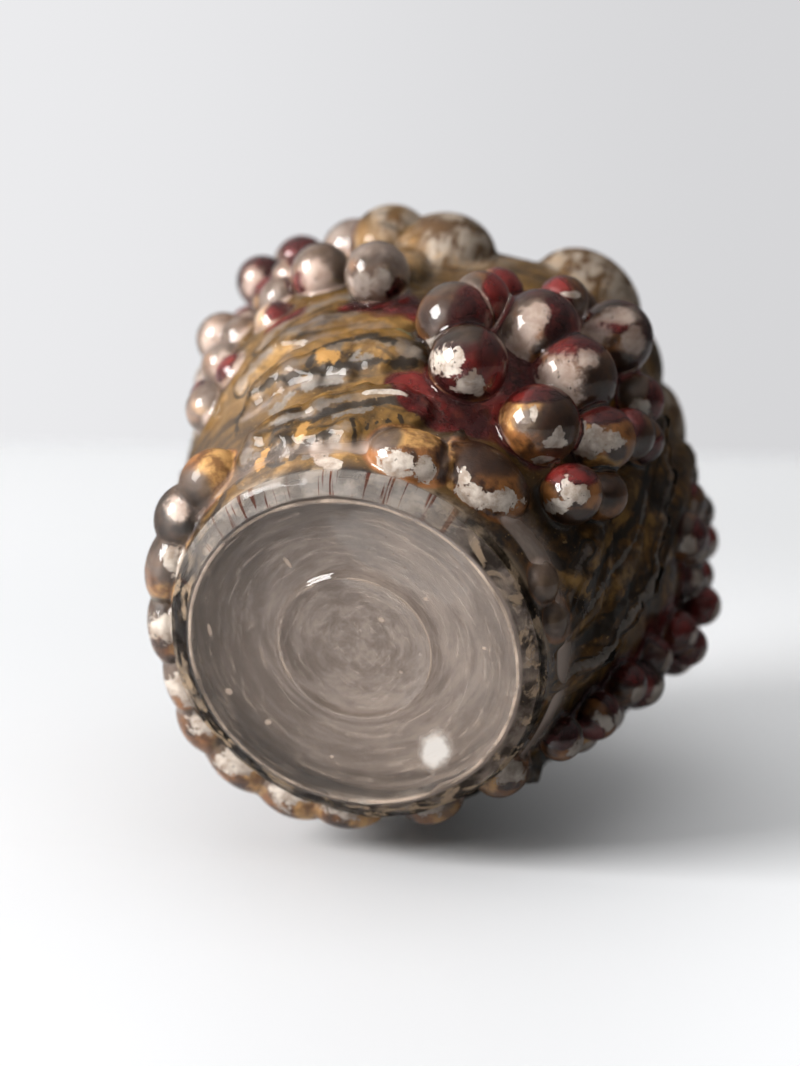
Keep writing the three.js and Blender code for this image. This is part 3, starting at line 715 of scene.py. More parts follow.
TAUPE_SPREAD = [(330, 84, 15, 16), (9, 92, 14, 16), (318, 90, 14, 12), (350, 100, 30, 9), (50, 92, 14, 12), (290, 80, 10, 16)]


def seen_from(theta_in):
    """Apparent distance from a grape's middle, in radii, of paint at an angle from the line of sight, seen through the glass."""
    b = np.linspace(0, 0.995, 200)
    inner = np.arcsin(b) + np.arcsin(np.clip(b / (1.5 * LENS), 0, 1)) - np.arcsin(b / 1.5)
    return np.interp(theta_in, inner, b, right=1.25)


def spread(ang, z, r, rows, sharp=1.0):
    out = np.zeros_like(z)
    for a, h, wide, tall in rows:
        d = np.hypot(np.radians(apart(ang, a)) * r / wide, (z - h) / tall)
        out = np.maximum(out, np.clip(1 - d / 2, 0, 1))
    return out


def paint_fields(co, nrm):
    """What the paint does at each point: one value per kind of paint, the painted shade, reflection and sheen, and
    where it lies on the relief.
    """
    ang, z = angle_of(co), co[:, 2]
    r = np.hypot(co[:, 0], co[:, 1])
    f = {k: np.zeros(len(co)) for k in ("cream", "maroon", "dark_paint_and_shade", "goldp", "painted_grey_reflection", "grape", "halo", "soft", "pale")}
    rng = np.random.default_rng(5)
    for name, rows in GRAPES.items():
        for n, (a, zz, rr, size) in enumerate(rows):
            c, out, side = polar(a, zz, rr)
            look = LOOKS.get("%s%d" % (name, n + 1))
            turn = 0.0
            if look is None:
                look = SPARE[int(rng.integers(len(SPARE)))]
                turn = rng.uniform(-0.9, 0.9)
            if name == "d":
                w, u = out, side
            else:
                w = CAMERA_AT - c
                w /= np.linalg.norm(w)
                if w @ out < 0.05 and turn:
                    w = w * 0.5 + out
                    w /= np.linalg.norm(w)
                u = CAMERA_RIGHT - (CAMERA_RIGHT @ w) * w
                u /= np.linalg.norm(u)
            v = np.cross(w, u)
            d = co - c
            dist = np.linalg.norm(d, axis=1)
            near = dist < size * 2.4
            if not near.any():
                continue
            dn, di = d[near], dist[near]
            q = dn / np.maximum(di[:, None], 1e-6)
            on = smooth(1.45 - np.abs(di - size * LENS) / 0.9)
            b = seen_from(np.arccos(np.clip(q @ w, -1, 1)))
            az = np.arctan2(q @ v, q @ u) + turn
            x, y = b * np.cos(az), b * np.sin(az)
            f["grape"][near] = np.maximum(f["grape"][near], on)
            if name == "a":
                f["pale"][near] = np.maximum(f["pale"][near], on)
            if "%s%d" % (name, n + 1) in SOFT_GRAPES:
                f["soft"][near] = np.maximum(f["soft"][near], 0.7 * on)
            f["halo"][near] = np.maximum(f["halo"][near], np.exp(-(np.maximum(di - size * LENS, 0) / (size * 0.55)) ** 2))
            for kind, bx, by, wx, wy in look:
                val = np.clip(1 - 0.5 * np.hypot((x - bx) / wx, (y - by) / wy), 0, 1) * on
                f[kind][near] = np.maximum(f[kind][near], val)
    for k, (a, zz, rr, (wide, tall, outw)) in enumerate(LOBES[:FOOT_LOBES]):
        c, out, side = polar(a, zz, rr)
        d = co - c
        e = np.sqrt((d @ side / wide) ** 2 + (d[:, 2] / tall) ** 2 + (d @ out / outw) ** 2)
        on = smooth((1.3 - e) / 0.3)
        w = CAMERA_AT - c
        w /= np.linalg.norm(w)
        u = CAMERA_RIGHT - (CAMERA_RIGHT @ w) * w
        u /= np.linalg.norm(u)
        v = np.cross(w, u)
        big = LOBE_SIZE.get(k, 0.9 * max(wide, tall))
        x, y = d @ u / big, d @ v / big
        for kind, bx, by, wx, wy in LOBE_LOOKS.get(k, LOBE_SPARE):
            f[kind] = np.maximum(f[kind], np.clip(1 - 0.5 * np.hypot((x - bx) / wx, (y - by) / wy), 0, 1) * on)
        f["grape"] = np.maximum(f["grape"], 0.8 * on)
    f["maroon"] = np.maximum(f["maroon"], spread(ang, z, r, RED_SPREAD) * 0.55 + 0.42 * f["halo"] * (1 - f["grape"]))
    f["region"] = spread(ang, z, r, DARK_SPREAD)
    f["taupe"] = spread(ang, z, r, TAUPE_SPREAD)
    f["soft"] = np.maximum(f["soft"], smooth(1.6 - np.abs(apart(ang, 296)) / 22))
    for kind in ("ink", "painted_silver_sheen", "chip", "flake", "lilac", "blush", "gold", "green"):
        f[kind] = np.zeros(len(co))
    close = np.where((z < 62) & ((ang > 280) | (ang < 80)))[0]
    ca, cz, cr = ang[close], z[close], r[close]
    for kind, half, pts in STROKES:
        best = np.full(len(close), 1e9)
        for (a0, h0), (a1, h1) in zip(pts[:-1], pts[1:]):
            dx, dy = np.radians(apart(a1, a0)) * cr, h1 - h0
            px, py = np.radians(apart(ca, a0)) * cr, cz - h0
            t = np.clip((px * dx + py * dy) / (dx * dx + dy * dy), 0, 1)
            best = np.minimum(best, np.hypot(px - t * dx, py - t * dy))
        f[kind][close] = np.maximum(f[kind][close], np.clip(1 - 0.5 * best / half, 0, 1))
    for kind in ("ink", "painted_silver_sheen", "chip", "flake", "lilac", "gold", "green"):
        f[kind] *= 1 - f["grape"]
    f["cream"] = np.maximum(f["cream"], f.pop("chip"))
    f["maroon"] = np.maximum(f["maroon"], 0.9 * f["blush"] * (1 - f["grape"]))
    # how far the surface lies under its surroundings, which darkens the paint there as painted shade
    nphi, nz = 360, 230
    ai = np.clip((ang / 360 * nphi).astype(int), 0, nphi - 1)
    zi = np.clip((z / 115 * nz).astype(int), 0, nz - 1)
    grid = np.zeros((nz, nphi))
    np.maximum.at(grid, (zi, ai), r)
    for _ in range(4):
        empty = grid <= 0
        if not empty.any():
            break
        fill = np.maximum.reduce([np.roll(grid, 1, 1), np.roll(grid, -1, 1), np.roll(grid, 1, 0), np.roll(grid, -1, 0)])
        grid[empty] = fill[empty]
    soft = grid.copy()
    for _ in range(12):
        soft = (soft + np.roll(soft, 1, 1) + np.roll(soft, -1, 1) + np.vstack([soft[:1], soft[:-1]]) + np.vstack([soft[1:], soft[-1:]])) / 5
    f["dark"] = np.clip((soft[zi, ai] - r) / 2.6, 0, 1)
    high, vein, edge, on = leaf_fields(ang, z)
    crest = crest_fields(ang, z)[1]
    free = 1 - f["grape"]
    f["vein"], f["leaf_edge"], f["leaf"], f["crest"] = vein * free, edge * free, on * free, crest * free
    # the streaks' own coordinates (metres), with their seam behind a bunch
    f["along"] = np.radians(apart(ang, 0.0)) * 42.0 * MM
    f["rise"] = z * MM
    return f


film_co = brushed_top(film_co)
nrm = film_normals(film_co, film_faces)
lift_fields = paint_fields(film_co, nrm)
n_film = len(film_co)
back_co = film_co - nrm * FILM_THICK
gold_co = np.vstack([film_co, back_co])
gold_faces = list(film_faces) + [[i + n_film for i in f[::-1]] for f in film_faces]
gold_faces += zip_loops(gold_co, [i + n_film for i in film_low], film_low, True)
gold_faces += zip_loops(gold_co, film_high, [i + n_film for i in film_high], True)
gold = new_object("painted_lining", gold_co, gold_faces)
orient(gold)
for key, val in lift_fields.items():
    set_attr(gold.data, key, np.concatenate([val, val]))
set_attr(gold.data, "backside", np.concatenate([np.zeros(n_film), np.ones(n_film)]))

# red coats: one thin patch of film in front of the gold for each bunch
red_objects = {}
for key, mid in BUNCHES.items():
    score = np.full(len(film_co), -1.0)
    for a, zz, rr, size in GRAPES[key]:
        c, out, side = polar(a, zz, rr)
        dist = np.linalg.norm(film_co - c, axis=1)
        score = np.maximum(score, 1 - (dist - size) / (size * 0.9))
    if key == "b":
        lone = spread(angle_of(film_co), film_co[:, 2], np.hypot(film_co[:, 0], film_co[:, 1]), RED_SPREAD[:5])
        score = np.maximum(score, (lone - 0.3) * 2.5)
    keep = (score > 0) & (np.abs(apart(angle_of(film_co), mid)) < 62)
    pick = [f for f in film_faces if all(keep[i] for i in f)]
    used = np.unique(np.concatenate([np.array(f) for f in pick]))
    remap = -np.ones(len(film_co), int)
    remap[used] = np.arange(len(used))
    co_out = film_co[used] + nrm[used] * 0.16
    co_in = film_co[used] + nrm[used] * 0.06
    m = len(used)
    fr = [[int(remap[i]) for i in f] for f in pick]
    fb = [[i + m for i in f[::-1]] for f in fr]
    count = {}
    for f in fr:
        for p, q in zip(f, f[1:] + f[:1]):
            count[(p, q)] = 1
    rim = [[q, p, p + m, q + m] for (p, q) in count if (q, p) not in count]
    ob = new_object("red_coat_" + key, np.vstack([co_out, co_in]), fr + fb + rim)
    for name, val in lift_fields.items():
        set_attr(ob.data, name, np.concatenate([val[used], val[used]]))
    set_attr(ob.data, "cover", np.clip(np.concatenate([score[used], score[used]]), 0, 1))
    red_objects[key] = ob


# ---------------------------------------------------------------- materials
def tree(name):
    mat = bpy.data.materials.new(name)
    mat.use_nodes = True
    nt = mat.node_tree
    nt.nodes.clear()
    return mat, nt


def node(nt, kind, **kw):
    n = nt.nodes.new(kind)
    for k, v in kw.items():
        setattr(n, k, v)
    return n


def link(nt, a, b):
    nt.links.new(a, b)


def attr(nt, name):
    return node(nt, "ShaderNodeAttribute", attribute_name=name).outputs["Fac"]


def math_node(nt, op, a, b=None, clamp=False):
    n = node(nt, "ShaderNodeMath", operation=op, use_clamp=clamp)
    for k, x in enumerate((a, b)):
        if x is None:
            continue
        if isinstance(x, (int, float)):
            n.inputs[k].default_value = x
        else:
            link(nt, x, n.inputs[k])
    return n.outputs[0]


def mul(nt, a, b):
    return math_node(nt, "MULTIPLY", a, b)


def add(nt, a, b):
    return math_node(nt, "ADD", a, b)


def less(nt, a, b):
    return math_node(nt, "SUBTRACT", a, b)


def mix_colour(nt, fac, a, b):
    n = node(nt, "ShaderNodeMix", data_type="RGBA")
    for sock, x in ((n.inputs["Factor"], fac), (n.inputs[6], a), (n.inputs[7], b)):
        if isinstance(x, (int, float)):
            sock.default_value = x
        elif isinstance(x, tuple):
            sock.default_value = (*x, 1.0)
        else:
            link(nt, x, sock)
    return n.outputs[2]


def noise(nt, vec, scale, detail=4.0, rough=0.55, dist=0.0):
    n = node(nt, "ShaderNodeTexNoise")
    n.inputs["Scale"].default_value = scale
    n.inputs["Detail"].default_value = detail
    n.inputs["Roughness"].default_value = rough
    n.inputs["Distortion"].default_value = dist
    link(nt, vec, n.inputs["Vector"])
    return n.outputs["Fac"]


def ramp(nt, fac, lo, hi, smoothly=True):
    n = node(nt, "ShaderNodeMapRange", clamp=True, interpolation_type="SMOOTHSTEP" if smoothly else "LINEAR")
    link(nt, fac, n.inputs["Value"])
    n.inputs["From Min"].default_value = lo
    n.inputs["From Max"].default_value = hi
    return n.outputs["Result"]


def vec3(nt, x, y, z):
    n = node(nt, "ShaderNodeCombineXYZ")
    for k, q in enumerate((x, y, z)):
        if isinstance(q, (int, float)):
            n.inputs[k].default_value = q
        else:
            link(nt, q, n.inputs[k])
    return n.outputs[0]


def srgb(r, g, b):
    def f(c):
        c /= 255.0
        return c / 12.92 if c <= 0.04045 else ((c + 0.055) / 1.055) ** 2.4
    return (f(r), f(g), f(b))


# chips and bubbles in the base: x, y, half width, half length (mm), lean (degrees)
SPECKS = [(-12.0, -15.1, 0.45, 1.5, 60), (-25.8, -1.0, 0.4, 1.6, 80), (12.3, -11.1, 0.45, 0.6, 0), (4.4, -5.7, 0.6, 0.8, 30),
          (22.9, -3.8, 0.35, 0.5, 0), (-22.7, 11.1, 0.7, 0.9, 40), (-15.7, 16.6, 0.6, 0.7, 0), (-4.0, 22.0, 0.3, 0.4, 0), (8.0, 4.0, 0.3, 0.5, 10)]
GLOW_AT, GLOW_U = (0.0147, 0.0176), (0.908, 0.419)
HAZE_DARK, HAZE_LIGHT = srgb(138, 117, 104), srgb(220, 204, 193)


def glass_material():
    mat, nt = tree("clear_glass")
    out = node(nt, "ShaderNodeOutputMaterial")
    tc = node(nt, "ShaderNodeTexCoord")
    p = tc.outputs["Object"]
    sep = node(nt, "ShaderNodeSeparateXYZ")
    link(nt, p, sep.inputs[0])
    x, y, z = sep.outputs
    rad = math_node(nt, "SQRT", add(nt, mul(nt, x, x), mul(nt, y, y)))
    g = node(nt, "ShaderNodeBsdfGlass")
    g.inputs["IOR"].default_value = 1.5
    g.inputs["Roughness"].default_value = 0.02
    tint = noise(nt, p, 60, 3)
    tinted = mix_colour(nt, tint, (0.955, 0.945, 0.94), (0.99, 0.985, 0.98))
    link(nt, tinted, g.inputs["Color"])
    # worn leaves shine less than the grapes
    dull = node(nt, "ShaderNodeBsdfRefraction")
    dull.inputs["IOR"].default_value = 1.5
    dull.inputs["Roughness"].default_value = 0.02
    link(nt, tinted, dull.inputs["Color"])
    # faint flow lines and orange-peel from the mould
    big = noise(nt, p, 120, 2, 0.5)
    small = noise(nt, p, 600, 3, 0.6)
    # turned streaks in the base
    cx = math_node(nt, "DIVIDE", x, add(nt, rad, 0.0004))
    cy = math_node(nt, "DIVIDE", y, add(nt, rad, 0.0004))
    swirl = noise(nt, vec3(nt, mul(nt, cx, 0.9), mul(nt, cy, 0.9), mul(nt, rad, 700.0)), 1.0, 4, 0.6, 0.4)
    low = less(nt, 1.0, ramp(nt, z, 0.0052, 0.0075))
    h = add(nt, add(nt, big, mul(nt, mul(nt, small, 0.2), less(nt, 1.0, low))), mul(nt, mul(nt, swirl, low), 0.6))
    bump = node(nt, "ShaderNodeBump")
    bump.inputs["Strength"].default_value = 0.22
    bump.inputs["Distance"].default_value = 0.0006
    link(nt, h, bump.inputs["Height"])
    link(nt, bump.outputs["Normal"], g.inputs["Normal"])
    link(nt, bump.outputs["Normal"], dull.inputs["Normal"])
    body = node(nt, "ShaderNodeMixShader")
    link(nt, mul(nt, less(nt, 1.0, attr(nt, "polish")), 0.62), body.inputs[0])
    link(nt, g.outputs[0], body.inputs[1])
    link(nt, dull.outputs[0], body.inputs[2])
    # a dull bloom of old water stain on the inside of the floor, which also stands in for the lit inside seen through
    # the base
    haze_and_painted_light = node(nt, "ShaderNodeBsdfDiffuse")
    cloud = noise(nt, p, 95, 5, 0.6)
    streak = noise(nt, vec3(nt, mul(nt, cx, 1.5), mul(nt, cy, 1.5), mul(nt, rad, 360.0)), 1.0, 6, 0.66, 0.5)
    # painted shade: the haze's tone darkens towards the left, while the underside's dust thickens there as painted
    # light
    across = add(nt, add(nt, mul(nt, x, float(CAMERA_RIGHT[0]) * 5.5), mul(nt, y, float(CAMERA_RIGHT[1]) * 5.5)), 0.05)
    tone = add(nt, add(nt, mul(nt, ramp(nt, streak, 0.32, 0.70), 0.42), mul(nt, cloud, 0.45)), across)
    see = node(nt, "ShaderNodeBsdfTranslucent")
    see.inputs["Color"].default_value = (*HAZE_LIGHT, 1)
    veil = node(nt, "ShaderNodeMixShader")
    veil.inputs[0].default_value = 0.35
    link(nt, haze_and_painted_light.outputs[0], veil.inputs[1])
    link(nt, see.outputs[0], veil.inputs[2])
    on_floor = mul(nt, mul(nt, ramp(nt, z, 0.0068, 0.0078), less(nt, 1.0, ramp(nt, z, 0.0160, 0.0200))), less(nt, 1.0, ramp(nt, rad, 0.0350, 0.0375)))
    on_floor = mul(nt, on_floor, add(nt, 0.54, mul(nt, ramp(nt, tone, 0.25, 0.75), 0.34)))
    # the bright patch of light that lands inside the base
    gx, gy = GLOW_AT
    gu = mul(nt, add(nt, mul(nt, add(nt, x, -gx), float(GLOW_U[0])), mul(nt, add(nt, y, -gy), float(GLOW_U[1]))), 1.0 / 0.0034)
    gv = mul(nt, add(nt, mul(nt, add(nt, x, -gx), float(GLOW_U[1])), mul(nt, add(nt, y, -gy), float(-GLOW_U[0]))), 1.0 / 0.0043)
    gd = math_node(nt, "SQRT", add(nt, mul(nt, gu, gu), mul(nt, gv, gv)))
    glow = less(nt, 1.0, ramp(nt, add(nt, gd, mul(nt, less(nt, noise(nt, p, 420, 4, 0.6), 0.5), 0.7)), 0.50, 1.10))
    glow = mul(nt, glow, less(nt, 1.0, ramp(nt, z, 0.0050, 0.0058)))
    link(nt, mix_colour(nt, mul(nt, glow, 0.95), mix_colour(nt, tone, HAZE_DARK, HAZE_LIGHT), (1.0, 0.97, 0.92)), haze_and_painted_light.inputs["Color"])
    mixh = node(nt, "ShaderNodeMixShader")
    link(nt, math_node(nt, "MAXIMUM", on_floor, mul(nt, glow, 0.96)), mixh.inputs[0])
    link(nt, body.outputs[0], mixh.inputs[1])
    link(nt, veil.outputs[0], mixh.inputs[2])
    # fine scratches and dust on the underside, with the extra dust towards the left a painted lift of that side
    dust_and_painted_light = node(nt, "ShaderNodeBsdfDiffuse")
    dust_and_painted_light.inputs["Color"].default_value = (*srgb(204, 182, 164), 1)
    under_it = mul(nt, less(nt, 1.0, ramp(nt, z, 0.0047, 0.0052)), less(nt, 1.0, ramp(nt, rad, 0.0290, 0.0300)))
    fine = noise(nt, vec3(nt, mul(nt, cx, 3.5), mul(nt, cy, 3.5), mul(nt, rad, 1100.0)), 1.0, 5, 0.7, 0.8)
    specks = noise(nt, p, 1000, 3, 0.6)
    # chips and bubbles in the base
    marks = None
    for mx, my, across_mm, long_mm, lean in SPECKS:
        ca, sa = math.cos(math.radians(lean)), math.sin(math.radians(lean))
        ux_ = mul(nt, add(nt, mul(nt, add(nt, x, -mx * MM), ca), mul(nt, add(nt, y, -my * MM), sa)), 1000.0 / long_mm)
        uy_ = mul(nt, add(nt, mul(nt, add(nt, x, -mx * MM), -sa), mul(nt, add(nt, y, -my * MM), ca)), 1000.0 / across_mm)
        one = less(nt, 1.0, ramp(nt, math_node(nt, "SQRT", add(nt, mul(nt, ux_, ux_), mul(nt, uy_, uy_))), 0.6, 1.0))
        marks = one if marks is None else math_node(nt, "MAXIMUM", marks, one)
    d_amt = mul(nt, under_it, add(nt, add(nt, add(nt, 0.07, mul(nt, ramp(nt, mul(nt, across, -1.0), 0.02, 0.14), 0.12)), mul(nt, ramp(nt, fine, 0.50, 0.72), 0.34)), mul(nt, ramp(nt, specks, 0.71, 0.73), 0.6)))
    d_amt = math_node(nt, "MAXIMUM", d_amt, mul(nt, mul(nt, marks, under_it), 0.8))
    # the foot's standing line is rubbed dull, and its pale line is also a painted highlight along the ridge
    off = math_node(nt, "ABSOLUTE", add(nt, rad, -0.02922))
    rubbed_and_highlight = mul(nt, less(nt, 1.0, ramp(nt, off, 0.00012, 0.00050)), less(nt, 1.0, ramp(nt, z, 0.0012, 0.0020)))
    rubbed_and_highlight = mul(nt, rubbed_and_highlight, add(nt, 0.25, mul(nt, ramp(nt, noise(nt, p, 150, 4, 0.6), 0.35, 0.6), 0.55)))
    d_amt = math_node(nt, "MAXIMUM", d_amt, rubbed_and_highlight)
    # painted highlight: a pale line along the moulded ring
    ring_highlight = less(nt, 1.0, ramp(nt, math_node(nt, "ABSOLUTE", add(nt, rad, -0.01362)), 0.00008, 0.00034))
    ring_highlight = mul(nt, mul(nt, ring_highlight, less(nt, 1.0, ramp(nt, z, 0.0047, 0.0052))), add(nt, 0.10, mul(nt, ramp(nt, noise(nt, p, 130, 3, 0.6), 0.40, 0.62), 0.50)))
    d_amt = math_node(nt, "MAXIMUM", d_amt, ring_highlight)
    # painted reflection round the heel: dark and tan in turn, pale with reddish lines on the top side, for the room and
    # the dark inside seen in the heel glass
    turned = noise(nt, vec3(nt, mul(nt, cx, 6.2), mul(nt, cy, 6.2), mul(nt, rad, 420.0)), 1.0, 5, 0.62, 0.5)
    heel = mul(nt, ramp(nt, rad, 0.0297, 0.0303), less(nt, 1.0, ramp(nt, z, 0.0028, 0.0036)))
    painted_heel_reflection = node(nt, "ShaderNodeBsdfDiffuse")
    topside = ramp(nt, add(nt, mul(nt, cx, -0.27), mul(nt, cy, -0.96)), 0.45, 0.85)
    tans = mix_colour(nt, ramp(nt, turned, 0.49, 0.58), srgb(20, 14, 10), srgb(160, 138, 114))
    lines = noise(nt, vec3(nt, mul(nt, cx, 22.0), mul(nt, cy, 22.0), mul(nt, rad, 60.0)), 1.0, 3, 0.6)
    pale = mix_colour(nt, ramp(nt, lines, 0.56, 0.62), srgb(172, 163, 155), srgb(112, 62, 50))
    link(nt, mix_colour(nt, mul(nt, topside, 0.8), tans, pale), painted_heel_reflection.inputs["Color"])
    mixp = node(nt, "ShaderNodeMixShader")
    link(nt, mul(nt, heel, add(nt, 0.46, mul(nt, ramp(nt, noise(nt, p, 170, 4, 0.6), 0.38, 0.60), 0.42))), mixp.inputs[0])
    link(nt, mixh.outputs[0], mixp.inputs[1])
    link(nt, painted_heel_reflection.outputs[0], mixp.inputs[2])
    mixd = node(nt, "ShaderNodeMixShader")
    link(nt, d_amt, mixd.inputs[0])
    link(nt, mixp.outputs[0], mixd.inputs[1])
    link(nt, dust_and_painted_light.outputs[0], mixd.inputs[2])
    clear = node(nt, "ShaderNodeBsdfTransparent")
    clear.inputs["Color"].default_value = (0.93, 0.92, 0.91, 1)
    path = node(nt, "ShaderNodeLightPath")
    mix = node(nt, "ShaderNodeMixShader")
    link(nt, path.outputs["Is Shadow Ray"], mix.inputs[0])
    link(nt, mixd.outputs[0], mix.inputs[1])
    link(nt, clear.outputs[0], mix.inputs[2])
    link(nt, mix.outputs[0], out.inputs["Surface"])
    return mat


def paint_masks(nt, p):
    """Where each kind of paint shows. Both paint materials share these, so that their edges agree."""
    n_edge = add(nt, mul(nt, noise(nt, p, 260, 6, 0.66, 0.6), 0.55), mul(nt, noise(nt, p, 760, 5, 0.66, 0.3), 0.45))
    n_soft = noise(nt, p, 150, 4, 0.55)
    here = attr(nt, "cream")
    crisp = ramp(nt, add(nt, here, mul(nt, less(nt, n_edge, 0.5), 1.7)), 0.52, 0.56)
    faded = mul(nt, ramp(nt, add(nt, here, mul(nt, less(nt, n_edge, 0.5), 1.0)), 0.35, 0.66), 0.88)
    both = node(nt, "ShaderNodeMix", data_type="FLOAT")
    link(nt, attr(nt, "soft"), both.inputs[0])
    link(nt, crisp, both.inputs[2])
    link(nt, faded, both.inputs[3])
    maroon = ramp(nt, add(nt, attr(nt, "maroon"), mul(nt, less(nt, n_soft, 0.5), 0.55)), 0.30, 0.55)
    return both.outputs[0], maroon


def gold_material():
    mat, nt = tree("gold_paint")
    out = node(nt, "ShaderNodeOutputMaterial")
    tc = node(nt, "ShaderNodeTexCoord")
    p = tc.outputs["Object"]
    along, rise = attr(nt, "along"), attr(nt, "rise")
    region = attr(nt, "region")
    across_streak = noise(nt, vec3(nt, mul(nt, along, 70.0), mul(nt, rise, 330.0), 0.0), 1.0, 5, 0.62, 0.5)
    up_streak = noise(nt, vec3(nt, mul(nt, along, 300.0), mul(nt, rise, 80.0), 5.0), 1.0, 5, 0.62, 0.5)
    streak = node(nt, "ShaderNodeMix", data_type="FLOAT")
    link(nt, ramp(nt, region, 0.3, 0.6), streak.inputs[0])
    link(nt, across_streak, streak.inputs[2])
    link(nt, up_streak, streak.inputs[3])
    streak = streak.outputs[0]
    n1 = noise(nt, p, 90, 5, 0.62)
    n2 = noise(nt, p, 330, 5, 0.62)
    n3 = noise(nt, p, 1100, 3, 0.6)
    cream, maroon = paint_masks(nt, p)
    grape = attr(nt, "grape")
    # bronze ground in streaks; the darkening where the relief is deep is painted shade, laid on further down
    base = mix_colour(nt, ramp(nt, add(nt, mul(nt, streak, 0.45), mul(nt, n1, 0.55)), 0.38, 0.60), srgb(52, 34, 10), srgb(138, 100, 38))
    base = mix_colour(nt, mul(nt, ramp(nt, noise(nt, p, 55, 4, 0.6), 0.44, 0.62), 0.42), base, srgb(104, 84, 62))
    base = mix_colour(nt, mul(nt, ramp(nt, region, 0.30, 0.66), 0.9), base, mix_colour(nt, ramp(nt, add(nt, mul(nt, n2, 0.5), mul(nt, n1, 0.5)), 0.42, 0.62), srgb(30, 15, 3), srgb(122, 82, 28)))
    taupe = ramp(nt, attr(nt, "taupe"), 0.35, 0.75)
    base = mix_colour(nt, mul(nt, taupe, 0.75), base, mix_colour(nt, ramp(nt, add(nt, mul(nt, up_streak, 0.7), mul(nt, n2, 0.3)), 0.44, 0.56), srgb(98, 70, 44), srgb(198, 184, 168)))
    # grey-lilac bands where the paint is thin
    thin = mul(nt, ramp(nt, across_streak, 0.52, 0.62), ramp(nt, n1, 0.50, 0.60))
    base = mix_colour(nt, mul(nt, mul(nt, thin, 0.5), less(nt, 1.0, ramp(nt, region, 0.3, 0.6))), base, srgb(140, 118, 96))
    # bright gold flakes
    fleck = mul(nt, ramp(nt, n2, 0.58, 0.62), ramp(nt, n1, 0.42, 0.58))
    base = mix_colour(nt, mul(nt, fleck, 0.42), base, srgb(186, 140, 78))
    tiny = ramp(nt, n3, 0.66, 0.70)
    base = mix_colour(nt, mul(nt, tiny, 0.45), base, srgb(226, 184, 120))
    # dark lines along veins and crest feet, and painted shade in the valleys
    dark, vein = attr(nt, "dark"), attr(nt, "vein")
    crest = attr(nt, "crest")
    vein_lines_and_recess_shade = math_node(nt, "ADD", mul(nt, dark, 0.9), mul(nt, vein, 0.75), clamp=True)
    vein_lines_and_recess_shade = mul(nt, vein_lines_and_recess_shade, ramp(nt, n2, 0.28, 0.52))
    base = mix_colour(nt, vein_lines_and_recess_shade, base, srgb(30, 20, 10))
    line = mul(nt, ramp(nt, crest, 0.22, 0.34), less(nt, 1.0, ramp(nt, crest, 0.40, 0.60)))
    base = mix_colour(nt, mul(nt, mul(nt, line, 0.85), ramp(nt, n2, 0.36, 0.48)), base, srgb(26, 20, 14))
    # painted sheen: silver along the crest tops
    painted_silver_sheen = mul(nt, ramp(nt, add(nt, crest, mul(nt, less(nt, n2, 0.5), 1.6)), 0.66, 0.86), 0.5)
    painted_silver_sheen = mul(nt, painted_silver_sheen, less(nt, 1.0, mul(nt, ramp(nt, region, 0.3, 0.6), 0.3)))
    base = mix_colour(nt, painted_silver_sheen, base, mix_colour(nt, n3, srgb(104, 98, 92), srgb(172, 164, 158)))
    # leaves stand a little brighter than the ground between them
    leafy = mul(nt, attr(nt, "leaf"), less(nt, 1.0, ramp(nt, region, 0.3, 0.6)))
    base = mix_colour(nt, mul(nt, mul(nt, leafy, 0.38), ramp(nt, n1, 0.36, 0.58)), base, srgb(150, 110, 48))
    base = mix_colour(nt, mul(nt, ramp(nt, attr(nt, "leaf_edge"), 0.3, 0.8), 0.45), base, srgb(44, 32, 18))
    # brush strokes
    ragged = add(nt, mul(nt, noise(nt, p, 240, 6, 0.68, 0.8), 0.6), mul(nt, noise(nt, p, 900, 5, 0.66, 0.4), 0.4))

    def stroke(name, lo, hi, rough, amount):
        return mul(nt, ramp(nt, add(nt, attr(nt, name), mul(nt, less(nt, ragged, 0.5), rough)), lo, hi), amount)

    base = mix_colour(nt, stroke("gold", 0.30, 0.78, 1.6, 0.8), base, mix_colour(nt, ramp(nt, n2, 0.40, 0.62), srgb(106, 76, 34), srgb(166, 126, 66)))
    base = mix_colour(nt, stroke("lilac", 0.38, 0.84, 2.2, 0.38), base, mix_colour(nt, n2, srgb(98, 84, 76), srgb(150, 138, 132)))
    base = mix_colour(nt, stroke("green", 0.40, 0.70, 1.6, 0.6), base, srgb(128, 146, 116))
    # painted sheen: the silver streaks
    base = mix_colour(nt, stroke("painted_silver_sheen", 0.50, 0.60, 3.4, 0.72), base, mix_colour(nt, n3, srgb(92, 86, 80), srgb(160, 154, 148)))
    base = mix_colour(nt, stroke("ink", 0.42, 0.64, 2.8, 0.9), base, srgb(38, 29, 20))
    base = mix_colour(nt, stroke("flake", 0.52, 0.60, 3.6, 0.9), base, srgb(190, 142, 76))
    # the foot's edge: black and tan in turn, a painted reflection of the room and the dark inside as the heel glass
    # shows them
    heel = less(nt, 1.0, ramp(nt, rise, 0.0040, 0.0066))
    turns = noise(nt, vec3(nt, mul(nt, along, 110.0), mul(nt, rise, 160.0), 8.0), 1.0, 4, 0.6, 0.4)
    base = mix_colour(nt, mul(nt, heel, 0.9), base, mix_colour(nt, ramp(nt, turns, 0.42, 0.60), srgb(34, 26, 20), srgb(158, 138, 114)))
